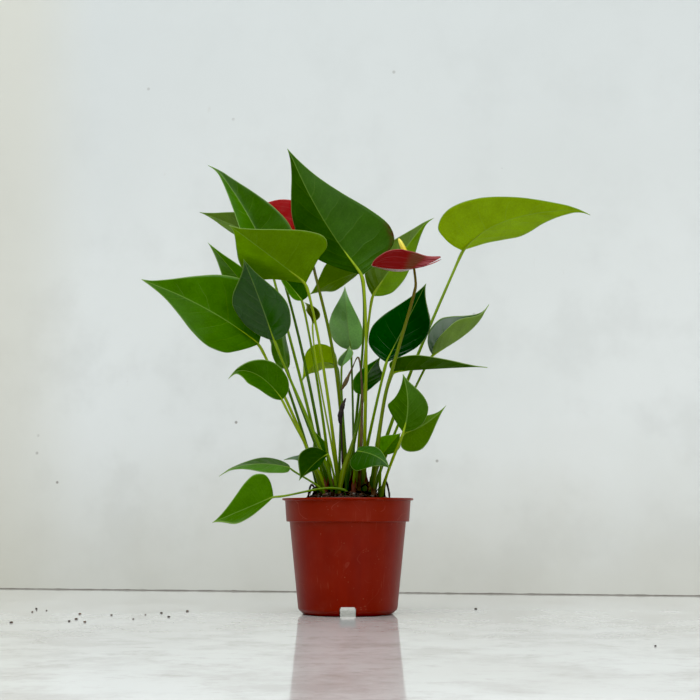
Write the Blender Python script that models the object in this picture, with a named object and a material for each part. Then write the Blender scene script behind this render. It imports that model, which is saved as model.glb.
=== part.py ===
"""A small anthurium in a 12 cm nursery pot.

Units are metres, +Z is up and the floor is Z = 0. The origin is under the middle of the whole plant;
the pot stands a little to one side of it, because the foliage leans out further to the right and back.
Every leaf is one solid, blade and stalk together. Stalks stand in plain holes in the potting mix.
"""

import math

import bmesh
import bpy
from mathutils import Vector, noise

MM = 0.001
GAP = 0.0003

# The pot's axis, off the origin.
POT_X = -0.0215
POT_Y = -0.0110

# Pot, from the floor up.
POT_HEIGHT = 0.104
FOOT_RADIUS = 0.0410
FOOT_WIDTH = 0.0030
FOOT_RISE = 0.0085
HEEL_RADIUS = 0.0455
HEEL_ROUNDING = 0.0056
SHOULDER_RADIUS = 0.0534
BAND_FOOT_RADIUS = 0.0561
BAND_TOP_RADIUS = 0.0575
BAND_HEIGHT = 0.0190
LIP_RADIUS = 0.0600
LIP_THICKNESS = 0.0022
WALL = 0.0014
EDGE = 0.0006
POT_SIDES = 44
NOTCH_WIDTH = 0.0145
DRAIN_RADIUS = 0.0035
DRAIN_RING = 0.024
DRAIN_COUNT = 4

# Potting mix.
SOIL_EDGE = 0.0960
SOIL_CROWN = 0.0150
SOIL_ROUGHNESS = 0.0011
SOIL_LUMP = 0.006
SOIL_FINE_SHARE = 0.6
SOIL_RINGS = 5
SOIL_SIDES = 24
HOLE_DEPTH = 0.014
HOLE_SIDES = 6
HOLE_CLEARANCE = 0.0004
STALK_SINK = 0.012
STALK_RISE = 0.003

# Leaves.
BLADE_THICKNESS = 0.0008
STALK_SIDES = 5
STALK_STEPS = 6
STALK_FOOT_RADIUS = 0.0021
STALK_NECK_RADIUS = 0.0013
STALK_UPRIGHT = 0.5
STALK_LEAVE = 0.30
STALK_ARRIVE = 0.25
STALK_INSET = 0.55
STALK_ONTO_RIB = ((0.07, 0.75), (0.16, 0.45))

# One half of a leaf's edge, from the notch at the stalk, round the lobe and up to the drip tip:
# (forward, as a share of the midrib; out, as a share of the half width; how much of the leaf's own
# lobe length it is drawn back by). The widest place is where each half is measured.
WIDEST = 0.30
LEAF_EDGE = (
    (0.0, 0.0, 0.0),
    (0.005, 0.28, -0.6),
    (0.04, 0.60, -1.0),
    (0.13, 0.88, -0.6),
    (WIDEST, 1.0, 0.0),
    (0.46, 0.85, 0.0),
    (0.62, 0.57, 0.0),
    (0.78, 0.28, 0.0),
    (0.91, 0.09, 0.0),
    (1.0, 0.0, 0.0),
)
# A spathe is heart shaped, with two long lobes that roll together behind the stem.
SPATHE_EDGE = (
    (0.0, 0.0, 0.0),
    (-0.36, 0.08, 0.0),
    (-0.74, 0.12, 0.0),
    (-0.40, 0.45, 0.0),
    (-0.12, 0.80, 0.0),
    (0.10, 0.95, 0.0),
    (WIDEST, 1.0, 0.0),
    (0.62, 0.82, 0.0),
    (0.90, 0.36, 0.0),
    (1.0, 0.0, 0.0),
)
# Where each row of the blade leaves the midrib, as a share of its length.
MIDRIB_ROWS = (0.0, 0.02, 0.05, 0.10, 0.20, 0.36, 0.54, 0.74, 0.90, 1.0)
HALF_COLUMNS = 2

# Each leaf: its name, its stalk's place in the mix (x, y), then five places on the blade: the base
# where the stalk joins, the middle of the midrib, the tip, and the widest place of the left and of
# the right half, seen from above with the tip ahead. All are in mm about the pot's axis. Then how
# far each half curls in degrees, the lobes' length as a share of the blade, and the stalk's girth
# as a share of a full one.
LEAVES = (
    ("far_left", (-24, -4), (-81, -20, 244), (-133, -22, 278), (-189, -25, 302),
     (-126, -48, 239), (-94, -20, 302), -15, -0.05, 1),
    ("behind_left", (-27, 6), (-87, 34, 290), (-110, 38, 321), (-136, 45, 351),
     (-112, 29, 295), (-90, 25, 312), 10, 0.05, 0.9),
    ("tall_left", (-21, 5), (-75, 20, 330), (-100, 38, 382), (-134, 60, 433),
     (-97, 6, 342), (-55, 20, 362), -10, 0.05, 1),
    ("high_back_left", (-18, 13), (-75, 72, 354), (-111, 80, 374), (-149, 92, 391),
     (-93, 66, 382), (-105, 97, 363), -10, 0.05, 1),
    ("glossy_left", (-13, -14), (-67, -25, 246), (-80, -37, 283), (-94, -47, 318),
     (-104, -37, 276), (-53, -50, 274), -15, 0, 1),
    ("bright_front", (-8, -8), (-38, -35, 298), (-73, -55, 322), (-103, -75, 342),
     (-22, -50, 338), (-93, -22, 309), -20, -0.1, 1),
    ("tallest", (15, -8), (14, -12, 309), (-26, 3, 370), (-57, 20, 438),
     (38, -10, 357), (-47, 26, 351), -10, -0.05, 1.1),
    ("under_tallest", (3, 5), (12, 28, 320), (-12, 36, 312), (-37, 46, 300),
     (-15, 24, 331), (-11, 54, 306), -10, 0, 0.9),
    ("behind_flower", (8, 8), (23, 24, 295), (50, 36, 336), (80, 50, 377),
     (54, 50, 314), (23, 50, 338), 10, -0.03, 1),
    ("far_right", (21, 8), (110, 40, 342), (157, 34, 372), (232, 22, 378),
     (166, 62, 360), (95, 8, 375), -10, -0.05, 1.1),
    ("dark_right", (11, -2), (35, -11, 228), (54, -13, 265), (72, -20, 300),
     (22, -4, 261), (74, -21, 254), -15, -0.03, 1),
    ("side_right", (24, 2), (78, 2, 237), (113, 1, 259), (128, -2, 280),
     (87, 16, 272), (98, -19, 264), 10, 0, 0.9),
    ("flat_right", (21, -12), (41, -22, 219), (81, -27, 221), (123, -34, 222),
     (70, 0, 232), (61, -44, 231), -15, 0.05, 1),
    ("round_right", (30, -19), (49, -60, 161), (53, -62, 186), (49, -54, 213),
     (71, -61, 182), (36, -44, 186), -15, 0, 0.8),
    ("low_right", (31, -11), (50, -45, 161), (67, -43, 168), (86, -40, 183),
     (64, -39, 146), (56, -27, 175), -10, 0.1, 0.8),
    ("pale_middle", (6, 14), (3, 50, 247), (-1, 54, 280), (-3, 68, 312),
     (-18, 44, 269), (14, 46, 265), 20, 0, 0.8),
    ("small_oval", (0, 8), (-6, 25, 228), (-2, 27, 238), (2, 30, 249),
     (-9, 24, 235), (5, 24, 240), 10, 0, 0.7),
    ("back_middle", (-8, 16), (-10, 56, 232), (-29, 60, 235), (-44, 60, 219),
     (-30, 46, 252), (-26, 76, 230), -20, 0, 0.8),
    ("dark_middle", (-2, -15), (14, 4, 200), (18, 7, 218), (31, 12, 236),
     (5, 2, 213), (33, 1, 216), -10, 0, 1.2),
    ("lower_left", (-20, -12), (-59, -30, 192), (-82, -38, 214), (-104, -45, 215),
     (-83, -62, 201), (-63, -36, 223), -20, 0, 0.8),
    ("edge_on_left", (-17, -7), (-56, 0, 224), (-61, -2, 256), (-60, -4, 288),
     (-70, -12, 239), (-56, 14, 244), 0, 0, 0.8),
    ("young", (-9, -1), (-33, 0, 265), (-32, 0, 276), (-41, 2, 286),
     (-39, -5, 277), (-26, -5, 274), 20, -0.1, 0.6),
    ("low_left", (-22, -20), (-52, -25, 131), (-83, -30, 134), (-111, -35, 127),
     (-69, -38, 126), (-73, -24, 140), -10, 0, 0.6),
    ("over_rim", (-2, -27), (-66, -38, 105), (-91, -45, 94), (-119, -52, 82),
     (-95, -60, 82), (-83, -48, 124), -10, 0, 0.7),
    ("base_left", (-10, -21), (-18, -38, 143), (-30, -46, 134), (-43, -50, 119),
     (-41, -59, 143), (-28, -38, 129), -25, 0, 0.7),
    ("base_inner", (-11, 9), (-24, 15, 141), (-26, 17, 154), (-32, 20, 168),
     (-32, 12, 151), (-18, 12, 150), 0, 0, 0.7),
    ("base_front", (5, -21), (8, -27, 146), (26, -46, 140), (37, -57, 129),
     (23, -30, 150), (7, -42, 128), -30, 0, 0.7),
    ("base_right", (29, -4), (31, -9, 143), (40, -11, 154), (48, -14, 163),
     (27, -9, 158), (47, -20, 149), 0, 0, 0.7),
    ("base_back_left", (-25, 14), (-33, 22, 146), (-46, 24, 144), (-60, 26, 140),
     (-43, 12, 139), (-42, 34, 146), 0, 0, 0.7),
    ("under_bright", (-15, 2), (-43, 10, 289), (-56, 18, 306), (-71, 26, 324),
     (-56, 4, 295), (-39, 6, 303), 0, 0, 0.9),
)

# Flowers: name, the stem's place in the mix, the stem's path, the spathe's five places as for a leaf,
# its curl, the spadix's end, how far its foot stands off the spathe's rib, and the stem's radius.
FLOWERS = (
    (
        "front", (23, -20),
        ((27, -26, 150), (33, -36, 192), (41, -42, 222), (48, -44, 246), (56, -45, 273),
         (62, -45, 296)),
        ((61, -46, 310), (42, -50, 308.5), (21, -54, 311), (46, -66, 323), (45, -33, 309)),
        -20, (46, -42, 337.5), 0.78, 1.6,
    ),
    (
        "back", (-3, 22),
        ((-4, 25, 150), (-10, 29, 215), (-18, 28, 262), (-27, 27, 300), (-34, 40, 330),
         (-40, 60, 364)),
        ((-41, 64, 373), (-64, 62, 380), (-89, 58, 386), (-56, 47, 355), (-49, 74, 398)),
        -15, (-50, 52, 397), 0.42, 1.5,
    ),
)
STEM_STEPS = 14
STEM_FOOT_SHARE = 1.15
STEM_TAPER = 0.3
STEM_END_SHARE = 0.8
SPATHE_NECK = 0.04
SPADIX_RADIUS = 0.0023
SPADIX_PLACE = 0.08
SPADIX_FOOT = 0.45
SPADIX_SIDES = 10
SPADIX_RINGS = 11
SPADIX_RELIEF = 0.00018

# Dead and half-grown growth: name, place in the mix, path and the radius at each point of it, in mm.
STEMS = (
    ("old_flower", (10, -13),
     ((12, -17, 150), (13, -20, 200), (10, -19, 231), (4, -18, 222), (-2, -17, 209), (-6, -17, 202)),
     (1.8, 1.6, 1.2, 0.9, 0.7, 2.4, 0.8)),
    ("withered_leaf", (-3.5, -21),
     ((-5, -22, 140), (-6, -22, 167), (-7, -22, 176), (-5, -22, 186), (-2, -22, 194)),
     (1.0, 0.9, 0.9, 2.2, 2.0, 0.6)),
)
# Short crowns that the stalks grow from: name, place in the mix, height above it and radius.
CROWNS = (
    ("crown_middle", (-1, -2), 22, 4.0),
    ("crown_right", (17, 1), 18, 3.5),
    ("crown_back", (0, 16), 18, 3.2),
)
# A crown's radius up its height, as (share of the height, share of the radius), and the line of each
# old sheath on it, as (share of the radius out, share of the height up, share of the radius thick).
CROWN_SHAPE = ((0.1, 1.0), (0.5, 0.9), (0.8, 0.6), (1.0, 0.15))
CROWN_SHEATHS = 3
CROWN_SIDES = 8
SHEATH_LINE = ((0.35, 0.05, 0.40), (0.72, 0.35, 0.42), (0.95, 0.62, 0.32), (1.35, 0.86, 0.10))
# Roots that arch out of the mix and back into it: name, the two ends, and how high the arch stands.
ROOTS = (
    ("aerial_root_left", (-36, -9), (-29, -14), 12),
    ("aerial_root_right", (33, 5), (38, -3), 14),
)
ROOT_RADIUS = 0.0009
ROOT_ARCH = ((0.38, 1.0), (0.9, 0.55))
ROOT_STEPS = 15


def material(name, colour, roughness):
    made = bpy.data.materials.new(name)
    made.use_nodes = True
    shader = made.node_tree.nodes["Principled BSDF"]
    shader.inputs["Base Color"].default_value = (*colour, 1.0)
    shader.inputs["Roughness"].default_value = roughness
    made.diffuse_color = (*colour, 1.0)
    return made


def place(x, y, z):
    """A point given in mm about the pot's axis, in metres about the origin."""
    return Vector((POT_X + x * MM, POT_Y + y * MM, z * MM))


def add_object(name, mesh_data, finish):
    """The object of a bmesh, with its faces turned outwards."""
    bmesh.ops.recalc_face_normals(mesh_data, faces=mesh_data.faces)
    mesh = bpy.data.meshes.new(name)
    mesh_data.to_mesh(mesh)
    mesh_data.free()
    made = bpy.data.objects.new(name, mesh)
    bpy.context.scene.collection.objects.link(made)
    mesh.materials.append(finish)
    mesh.shade_smooth()
    mesh.set_sharp_from_angle(angle=math.radians(40))
    return made


def combine(target, others, operation):
    """Applies one Boolean of all the others to the target, and removes them."""
    group = bpy.data.collections.new("operands")
    for other in others:
        for owner in list(other.users_collection):
            owner.objects.unlink(other)
        group.objects.link(other)
    step = target.modifiers.new("Boolean", "BOOLEAN")
    step.operation = operation
    step.operand_type = "COLLECTION"
    step.collection = group
    step.solver = "EXACT"
    graph = bpy.context.evaluated_depsgraph_get()
    mesh = bpy.data.meshes.new_from_object(target.evaluated_get(graph))
    old = target.data
    target.modifiers.remove(step)
    target.data = mesh
    mesh.name = old.name
    bpy.data.meshes.remove(old)
    for other in others:
        bpy.data.objects.remove(other)
    bpy.data.collections.remove(group)
    return target


def spline(points, t):
    """A smooth curve through all the points, with t running from 0 to 1 over them."""
    spans = len(points) - 1
    i = min(int(t * spans), spans - 1)
    f = t * spans - i
    p1, p2 = points[i], points[i + 1]
    p0 = points[i - 1] if i > 0 else tuple(2 * a - b for a, b in zip(p1, p2))
    p3 = points[i + 2] if i + 2 <= spans else tuple(2 * b - a for a, b in zip(p1, p2))
    return tuple(
        0.5 * (2 * b + (c - a) * f + (2 * a - 5 * b + 4 * c - d) * f**2 + (3 * b - a - 3 * c + d) * f**3)
        for a, b, c, d in zip(p0, p1, p2, p3)
    )


class Blade:
    """The curved surface of one leaf or spathe, reached by (forward, out) places on the flat blade."""

    def __init__(self, base, middle, tip, left, right, curl, edge):
        self.base = base
        self.tip = tip
        self.control = 2 * middle - (base + tip) / 2
        self.curl = math.radians(curl)
        self.edge = edge
        start, ahead = self.spine(WIDEST)
        spans = [place - start for place in (left, right)]
        flat = [span - span.dot(ahead) * ahead for span in spans]
        self.up = (ahead.cross(flat[0].normalized()) + flat[1].normalized().cross(ahead)).normalized()
        side = self.up.cross(ahead)
        self.halves = [(f.dot(side), f.dot(self.up), span.dot(ahead)) for f, span in zip(flat, spans)]

    def spine(self, forward):
        """The midrib's point there and the direction along it."""
        point = (1 - forward) ** 2 * self.base + forward**2 * self.tip
        point += 2 * forward * (1 - forward) * self.control
        ahead = (1 - forward) * (self.control - self.base) + forward * (self.tip - self.control)
        return point, ahead.normalized()

    def rib(self, forward):
        """The midrib's point there, with the directions along it and up from it."""
        point, ahead = self.spine(forward)
        return point, ahead, (self.up - self.up.dot(ahead) * ahead).normalized()

    def point(self, forward, out):
        """The place on the blade, out from the midrib by a share of the half's own reach."""
        rib, ahead, normal = self.rib(forward)
        reach, rise, sweep = self.halves[0 if out > 0 else 1]
        share = abs(out)
        bow = 0.5 * math.tan(self.curl / 2) * share * (1 - share)
        side = reach * share - bow * rise * math.copysign(1, out)
        lift = rise * share - bow * abs(reach)
        return rib + side * normal.cross(ahead) + lift * normal + sweep * share * ahead

    def grid(self, row, column):
        """The place of one grid point: rows run from the notch to the tip, columns from edge to edge."""
        share = abs(column) / HALF_COLUMNS
        forward, out = spline(self.edge, row / (len(MIDRIB_ROWS) - 1))
        start = MIDRIB_ROWS[row]
        return self.point(start + (forward - start) * share, math.copysign(out * share, column))


def edge_line(edge, lobe):
    """A blade's half outline as (forward, out) points, with its lobe drawn back by the lobe's length."""
    return [(forward + back * lobe, out) for forward, out, back in edge]


def thick_sheet(points, faces, thickness):
    """A closed sheet: the same triangles on both sides of the given surface, joined round its edge."""
    sheet = bmesh.new()
    middle = [sheet.verts.new(p) for p in points]
    for face in faces:
        sheet.faces.new([middle[i] for i in face])
    sheet.normal_update()
    normals = [v.normal.copy() for v in middle]
    edges = [(e.verts[0].index, e.verts[1].index) for e in boundary(sheet)]
    sheet.free()
    solid = bmesh.new()
    top = [solid.verts.new(p + n * thickness / 2) for p, n in zip(points, normals)]
    under = [solid.verts.new(p - n * thickness / 2) for p, n in zip(points, normals)]
    for a, b, c in faces:
        solid.faces.new((top[a], top[b], top[c]))
        solid.faces.new((under[c], under[b], under[a]))
    for a, b in edges:
        solid.faces.new((top[b], top[a], under[a]))
        solid.faces.new((top[b], under[a], under[b]))
    return solid


def boundary(sheet):
    sheet.verts.index_update()
    return [e for e in sheet.edges if len(e.link_faces) == 1]


def blade_mesh(blade):
    """The blade as a thick sheet of triangles, fanning from the midrib to the edge."""
    last = len(MIDRIB_ROWS) - 1
    points = []
    index = {}
    for row in range(last + 1):
        for column in range(-HALF_COLUMNS, HALF_COLUMNS + 1):
            if row in (0, last) and column:
                index[row, column] = index.get((row, 0))
                continue
            index[row, column] = len(points)
            points.append(blade.grid(row, column))
    for row in (0, last):
        for column in range(-HALF_COLUMNS, HALF_COLUMNS + 1):
            index[row, column] = index[row, 0]
    faces = []
    for row in range(last):
        for column in range(-HALF_COLUMNS, HALF_COLUMNS):
            a, b = index[row, column], index[row, column + 1]
            c, d = index[row + 1, column + 1], index[row + 1, column]
            corners = ((a, b, c), (a, c, d)) if column < 0 else ((a, b, d), (b, c, d))
            faces += [face for face in corners if len(set(face)) == 3]
    return thick_sheet(points, faces, BLADE_THICKNESS)


def tube(path, radii, sides=STALK_SIDES):
    """A closed round stem along a path of points."""
    made = bmesh.new()
    rings = []
    across = Vector((1, 0, 0))
    for i, centre in enumerate(path):
        tangent = (path[min(i + 1, len(path) - 1)] - path[max(i - 1, 0)]).normalized()
        across = (across - across.dot(tangent) * tangent).normalized()
        other = tangent.cross(across)
        turns = [math.tau * k / sides for k in range(sides)]
        ring = [centre + radii[i] * (math.cos(a) * across + math.sin(a) * other) for a in turns]
        rings.append([made.verts.new(p) for p in ring])
    for below, above in zip(rings, rings[1:]):
        for k in range(sides):
            n = (k + 1) % sides
            made.faces.new((below[k], below[n], above[n], above[k]))
    made.faces.new(rings[0])
    made.faces.new(rings[-1])
    bmesh.ops.triangulate(made, faces=made.faces)
    return made


def wall_radius(z):
    """The pot's outside at a height, below the band."""
    share = (z - FOOT_RISE) / (POT_HEIGHT - BAND_HEIGHT - FOOT_RISE)
    return HEEL_RADIUS + (SHOULDER_RADIUS - HEEL_RADIUS) * share


def soil_radius(z):
    """The mix's radius at a height: the pot's inside, less the gap."""
    return wall_radius(z) - WALL - GAP


def soil_height(x, y):
    """The top of the mix under a point given in metres from the pot's axis."""
    radius = math.hypot(x, y) / soil_radius(SOIL_EDGE)
    coarse = noise.noise(Vector((x, y, 0)) / SOIL_LUMP)
    fine = noise.noise(Vector((x, y, SOIL_LUMP)) / (SOIL_LUMP / 2))
    lumps = coarse + SOIL_FINE_SHARE * fine
    return SOIL_EDGE + SOIL_CROWN * (1 - radius**2) + SOIL_ROUGHNESS * lumps


def stalk_path(foot, neck, arrive):
    """Upright out of its hole, then one smooth sweep to the neck."""
    x, y = foot
    ground = soil_height(x * MM, y * MM)
    start = place(x, y, 0) + Vector((0, 0, ground + STALK_RISE))
    sunk = start - Vector((0, 0, STALK_SINK + STALK_RISE))
    reach = (neck - start).length
    leave = ((neck - start).normalized() + Vector((0, 0, STALK_UPRIGHT))).normalized()
    first = start + leave * reach * STALK_LEAVE
    second = neck - arrive * reach * STALK_ARRIVE
    path = [sunk]
    for i in range(STALK_STEPS):
        t = i / (STALK_STEPS - 1)
        spot = (1 - t) ** 3 * start + 3 * t * (1 - t) ** 2 * first
        path.append(spot + 3 * t**2 * (1 - t) * second + t**3 * neck)
    return path


def blade_of(leaf):
    """The blade that a row of the table describes."""
    curl, lobe = leaf[7:9]
    return Blade(*(place(*spot) for spot in leaf[2:7]), curl, edge_line(LEAF_EDGE, lobe))


def with_blade(name, path, radii, blade, finish):
    """A stem and the blade it carries, as one solid."""
    stalk = add_object(name, tube(path, radii), finish)
    sheet = add_object(name + "_blade", blade_mesh(blade), finish)
    return combine(stalk, [sheet], "UNION")


def make_leaf(leaf, finish):
    """One leaf: a round stalk that swells a little at its foot, and a thin blade it runs into."""
    foot, girth = leaf[1], leaf[-1]
    blade = blade_of(leaf)
    _, ahead, normal = blade.rib(0.0)
    rising = (blade.base - place(*foot, SOIL_EDGE / MM)).normalized()
    arrive = (0.8 * rising + 0.2 * ahead).normalized()
    neck_radius = STALK_NECK_RADIUS * girth
    foot_radius = STALK_FOOT_RADIUS * girth
    path = stalk_path(foot, blade.base - normal * neck_radius * STALK_INSET, arrive)
    taper = [(i / (STALK_STEPS - 1)) ** 0.6 for i in range(STALK_STEPS)]
    radii = [foot_radius] + [foot_radius + (neck_radius - foot_radius) * share for share in taper]
    for forward, share in STALK_ONTO_RIB:
        rib, _, up = blade.rib(forward)
        path.append(rib - up * neck_radius * STALK_INSET * share)
        radii.append(neck_radius * share)
    return with_blade("leaf_" + leaf[0], path, radii, blade, finish)


def free_path(foot, points, steps):
    """Out of its hole in the mix and smoothly through the given points."""
    ground = soil_height(foot[0] * MM, foot[1] * MM) / MM
    stations = [(*foot, ground - STALK_SINK / MM), (*foot, ground + 3)] + list(points)
    return [place(*spline(stations, i / steps)) for i in range(steps + 1)]


def make_flower(flower, finishes):
    """A flower: a round stem, a heart-shaped spathe and a spadix that stands in it."""
    name, foot, points, spots, curl, spadix, seat, radius = flower
    blade = Blade(*(place(*spot) for spot in spots), curl, edge_line(SPATHE_EDGE, 0.0))
    neck, _, normal = blade.rib(SPATHE_NECK)
    path = free_path(foot, points, STEM_STEPS)
    path.append(neck - normal * BLADE_THICKNESS * 0.4)
    last = len(path)
    radii = [radius * MM * (STEM_FOOT_SHARE - STEM_TAPER * i / last) for i in range(last)]
    radii[-1] *= STEM_END_SHARE
    with_blade("flower_" + name, path, radii, blade, finishes[0])
    rib, _, up = blade.rib(SPADIX_PLACE)
    end = place(*spadix)
    lean = math.sin(up.angle(end - rib))
    foot = rib + up * (BLADE_THICKNESS / 2 + seat * MM + SPADIX_RADIUS * SPADIX_FOOT * lean)
    make_spadix("spadix_" + name, foot, end, finishes[1])


def make_spadix(name, foot, end, finish):
    """The spike of tiny flowers: widest below its middle, blunt at its end, with low bumps."""
    made = bmesh.new()
    axis = (end - foot).normalized()
    across = axis.cross(Vector((0, 0, 1))).normalized()
    other = axis.cross(across)
    rings = []
    for ring in range(SPADIX_RINGS + 1):
        share = ring / SPADIX_RINGS
        belly = 0.82 + 0.5 * share - 0.55 * share**2
        blunt = math.sqrt(max(1 - share**8, 0.12))
        taper = belly * blunt * min(1.0, SPADIX_FOOT + 6 * share)
        spots = []
        for k in range(SPADIX_SIDES):
            bump = SPADIX_RELIEF * (1 if (k + ring) % 2 else -1)
            angle = math.tau * k / SPADIX_SIDES
            outward = math.cos(angle) * across + math.sin(angle) * other
            spots.append(foot.lerp(end, share) + (SPADIX_RADIUS * taper + bump) * outward)
        rings.append([made.verts.new(spot) for spot in spots])
    for below, above in zip(rings, rings[1:]):
        for k in range(SPADIX_SIDES):
            n = (k + 1) % SPADIX_SIDES
            made.faces.new((below[k], below[n], above[n]))
            made.faces.new((below[k], above[n], above[k]))
    made.faces.new(rings[0])
    made.faces.new(rings[-1])
    return add_object(name, made, finish)


def make_stem(stem, finish):
    """A stem with nothing alive at its end: its radius is given at the foot and at every point."""
    name, foot, points, radii = stem
    steps = 3 * len(points)
    path = free_path(foot, points, steps)
    given = [(radii[0],)] + [(radius,) for radius in radii]
    sizes = [spline(given, i / steps)[0] * MM for i in range(steps + 1)]
    return add_object(name, tube(path, sizes), finish)


def make_crown(crown, finish):
    """A short crown in the mix, with the pointed brown sheaths of old leaves standing round it."""
    name, foot, height, radius = crown
    ground = soil_height(foot[0] * MM, foot[1] * MM) / MM
    core = [place(*foot, ground - STALK_SINK / MM)]
    core += [place(*foot, ground + up * height) for up, _ in CROWN_SHAPE]
    sizes = [radius * MM] + [radius * MM * share for _, share in CROWN_SHAPE]
    made = add_object(name, tube(core, sizes, CROWN_SIDES), finish)
    sheaths = []
    for k in range(CROWN_SHEATHS):
        angle = math.tau * (k + 0.25) / CROWN_SHEATHS
        spots = []
        for out, up, _ in SHEATH_LINE:
            x = foot[0] + out * radius * math.cos(angle)
            y = foot[1] + out * radius * math.sin(angle)
            spots.append(place(x, y, ground + up * height))
        sizes = [radius * MM * thick for _, _, thick in SHEATH_LINE]
        sheaths.append(add_object(f"{name}_sheath_{k}", tube(spots, sizes), finish))
    return combine(made, sheaths, "UNION")


def make_root(root, finish):
    """An arched root, standing in a hole at each end: it rises steeply and comes down slowly."""
    name, one, other, height = root
    ends = [Vector((*spot, soil_height(spot[0] * MM, spot[1] * MM) / MM)) for spot in (one, other)]
    start, end = ends
    up = Vector((0, 0, 1))
    sunk = -up * STALK_SINK / MM
    stations = [start + sunk, start + up]
    for along, share in ROOT_ARCH:
        stations.append(start.lerp(end, along) + up * share * height)
    stations += [end + up, end + sunk]
    line = [place(*spline(stations, i / ROOT_STEPS)) for i in range(ROOT_STEPS + 1)]
    return add_object(name, tube(line, [ROOT_RADIUS] * len(line)), finish)


def turned(profile, sides):
    """A solid turned about the pot's axis from a closed outline of (radius, height) points."""
    made = bmesh.new()
    rings = []
    for radius, height in profile:
        if radius == 0:
            rings.append([made.verts.new((POT_X, POT_Y, height))] * sides)
            continue
        turns = [math.tau * (k + 0.5) / sides for k in range(sides)]
        spots = [(POT_X + radius * math.cos(a), POT_Y + radius * math.sin(a), height) for a in turns]
        rings.append([made.verts.new(p) for p in spots])
    for here, there in zip(rings, rings[1:] + rings[:1]):
        for k in range(sides):
            n = (k + 1) % sides
            corners = list(dict.fromkeys((here[k], here[n], there[n], there[k])))
            if len(corners) > 2:
                made.faces.new(corners)
    return made


def make_pot(finish):
    """A thin moulded pot: a lip, a straight band, a tapered body and a raised base on a foot ring."""
    band_foot = POT_HEIGHT - LIP_THICKNESS - BAND_HEIGHT
    inner_floor = FOOT_RISE + WALL
    profile = (
        (0, FOOT_RISE),
        (FOOT_RADIUS - FOOT_WIDTH, FOOT_RISE),
        (FOOT_RADIUS - FOOT_WIDTH, 0),
        (FOOT_RADIUS - EDGE, 0),
        (FOOT_RADIUS, EDGE),
        (HEEL_RADIUS - EDGE, 0.6 * HEEL_ROUNDING),
        (HEEL_RADIUS, HEEL_ROUNDING),
        (wall_radius(band_foot - EDGE), band_foot - EDGE),
        (BAND_FOOT_RADIUS - EDGE, band_foot),
        (BAND_FOOT_RADIUS, band_foot + EDGE),
        (BAND_TOP_RADIUS, POT_HEIGHT - LIP_THICKNESS),
        (LIP_RADIUS, POT_HEIGHT - LIP_THICKNESS + EDGE),
        (LIP_RADIUS, POT_HEIGHT - EDGE),
        (LIP_RADIUS - EDGE, POT_HEIGHT),
        (BAND_TOP_RADIUS - WALL + EDGE, POT_HEIGHT),
        (BAND_TOP_RADIUS - WALL, POT_HEIGHT - EDGE),
        (BAND_FOOT_RADIUS - WALL, band_foot + WALL),
        (wall_radius(band_foot) - WALL, band_foot),
        (wall_radius(inner_floor) - WALL, inner_floor),
        (0, inner_floor),
    )
    pot = add_object("pot", turned(profile, POT_SIDES), finish)
    cutters = [notch_cutter()]
    for k in range(DRAIN_COUNT):
        angle = math.tau * (k + 0.5) / DRAIN_COUNT
        x, y = POT_X + DRAIN_RING * math.cos(angle), POT_Y + DRAIN_RING * math.sin(angle)
        ends = [Vector((x, y, z)) for z in (FOOT_RISE - WALL, inner_floor + WALL)]
        cutters.append(add_object(f"drain_{k}", tube(ends, [DRAIN_RADIUS] * 2, 8), finish))
    return combine(pot, cutters, "DIFFERENCE")


def notch_cutter():
    """One bar right across, which opens the foot ring at the front and at the back."""
    bar = bmesh.new()
    bmesh.ops.create_cube(bar, size=1.0)
    bmesh.ops.scale(bar, verts=bar.verts, vec=(NOTCH_WIDTH, 2 * LIP_RADIUS, 2 * FOOT_RISE))
    bmesh.ops.translate(bar, verts=bar.verts, vec=(POT_X, POT_Y, -0.0001))
    return add_object("notch", bar, bpy.data.materials[0])


def make_soil(finish, feet):
    """The mix fills the pot and swells a little round the stems, with a plain hole for each."""
    made = bmesh.new()
    floor = FOOT_RISE + WALL + GAP
    rings = []
    for ring in range(1, SOIL_RINGS + 1):
        share = ring / SOIL_RINGS
        spots = []
        for k in range(SOIL_SIDES):
            angle = math.tau * (k + 0.5 * (ring % 2)) / SOIL_SIDES
            radius = share * soil_radius(SOIL_EDGE)
            x, y = radius * math.cos(angle), radius * math.sin(angle)
            height = soil_height(x, y) if ring < SOIL_RINGS else SOIL_EDGE
            spots.append(made.verts.new((POT_X + x, POT_Y + y, height)))
        rings.append(spots)
    middle = made.verts.new((POT_X, POT_Y, soil_height(0, 0)))
    base = []
    radius = soil_radius(floor)
    for k in range(SOIL_SIDES):
        angle = math.tau * (k + 0.5 * (SOIL_RINGS % 2)) / SOIL_SIDES
        x, y = POT_X + radius * math.cos(angle), POT_Y + radius * math.sin(angle)
        base.append(made.verts.new((x, y, floor)))
    for k in range(SOIL_SIDES):
        n = (k + 1) % SOIL_SIDES
        made.faces.new((middle, rings[0][k], rings[0][n]))
        made.faces.new((rings[-1][k], base[k], base[n], rings[-1][n]))
        for ring, (inner, outer) in enumerate(zip(rings, rings[1:]), start=1):
            if ring % 2:
                made.faces.new((inner[k], outer[n], inner[n]))
                made.faces.new((inner[k], outer[k], outer[n]))
            else:
                made.faces.new((inner[k], outer[k], inner[n]))
                made.faces.new((inner[n], outer[k], outer[n]))
    made.faces.new(base)
    soil = add_object("soil", made, finish)
    holes = []
    for number, (x, y, radius) in enumerate(feet):
        top = soil_height(x * MM, y * MM)
        ends = [place(x, y, 0) + Vector((0, 0, z)) for z in (top - HOLE_DEPTH, top + 0.006)]
        widest = (radius + HOLE_CLEARANCE) / math.cos(math.pi / HOLE_SIDES)
        holes.append(add_object(f"hole_{number}", tube(ends, [widest] * 2, HOLE_SIDES), finish))
    return combine(soil, holes, "DIFFERENCE")


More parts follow.
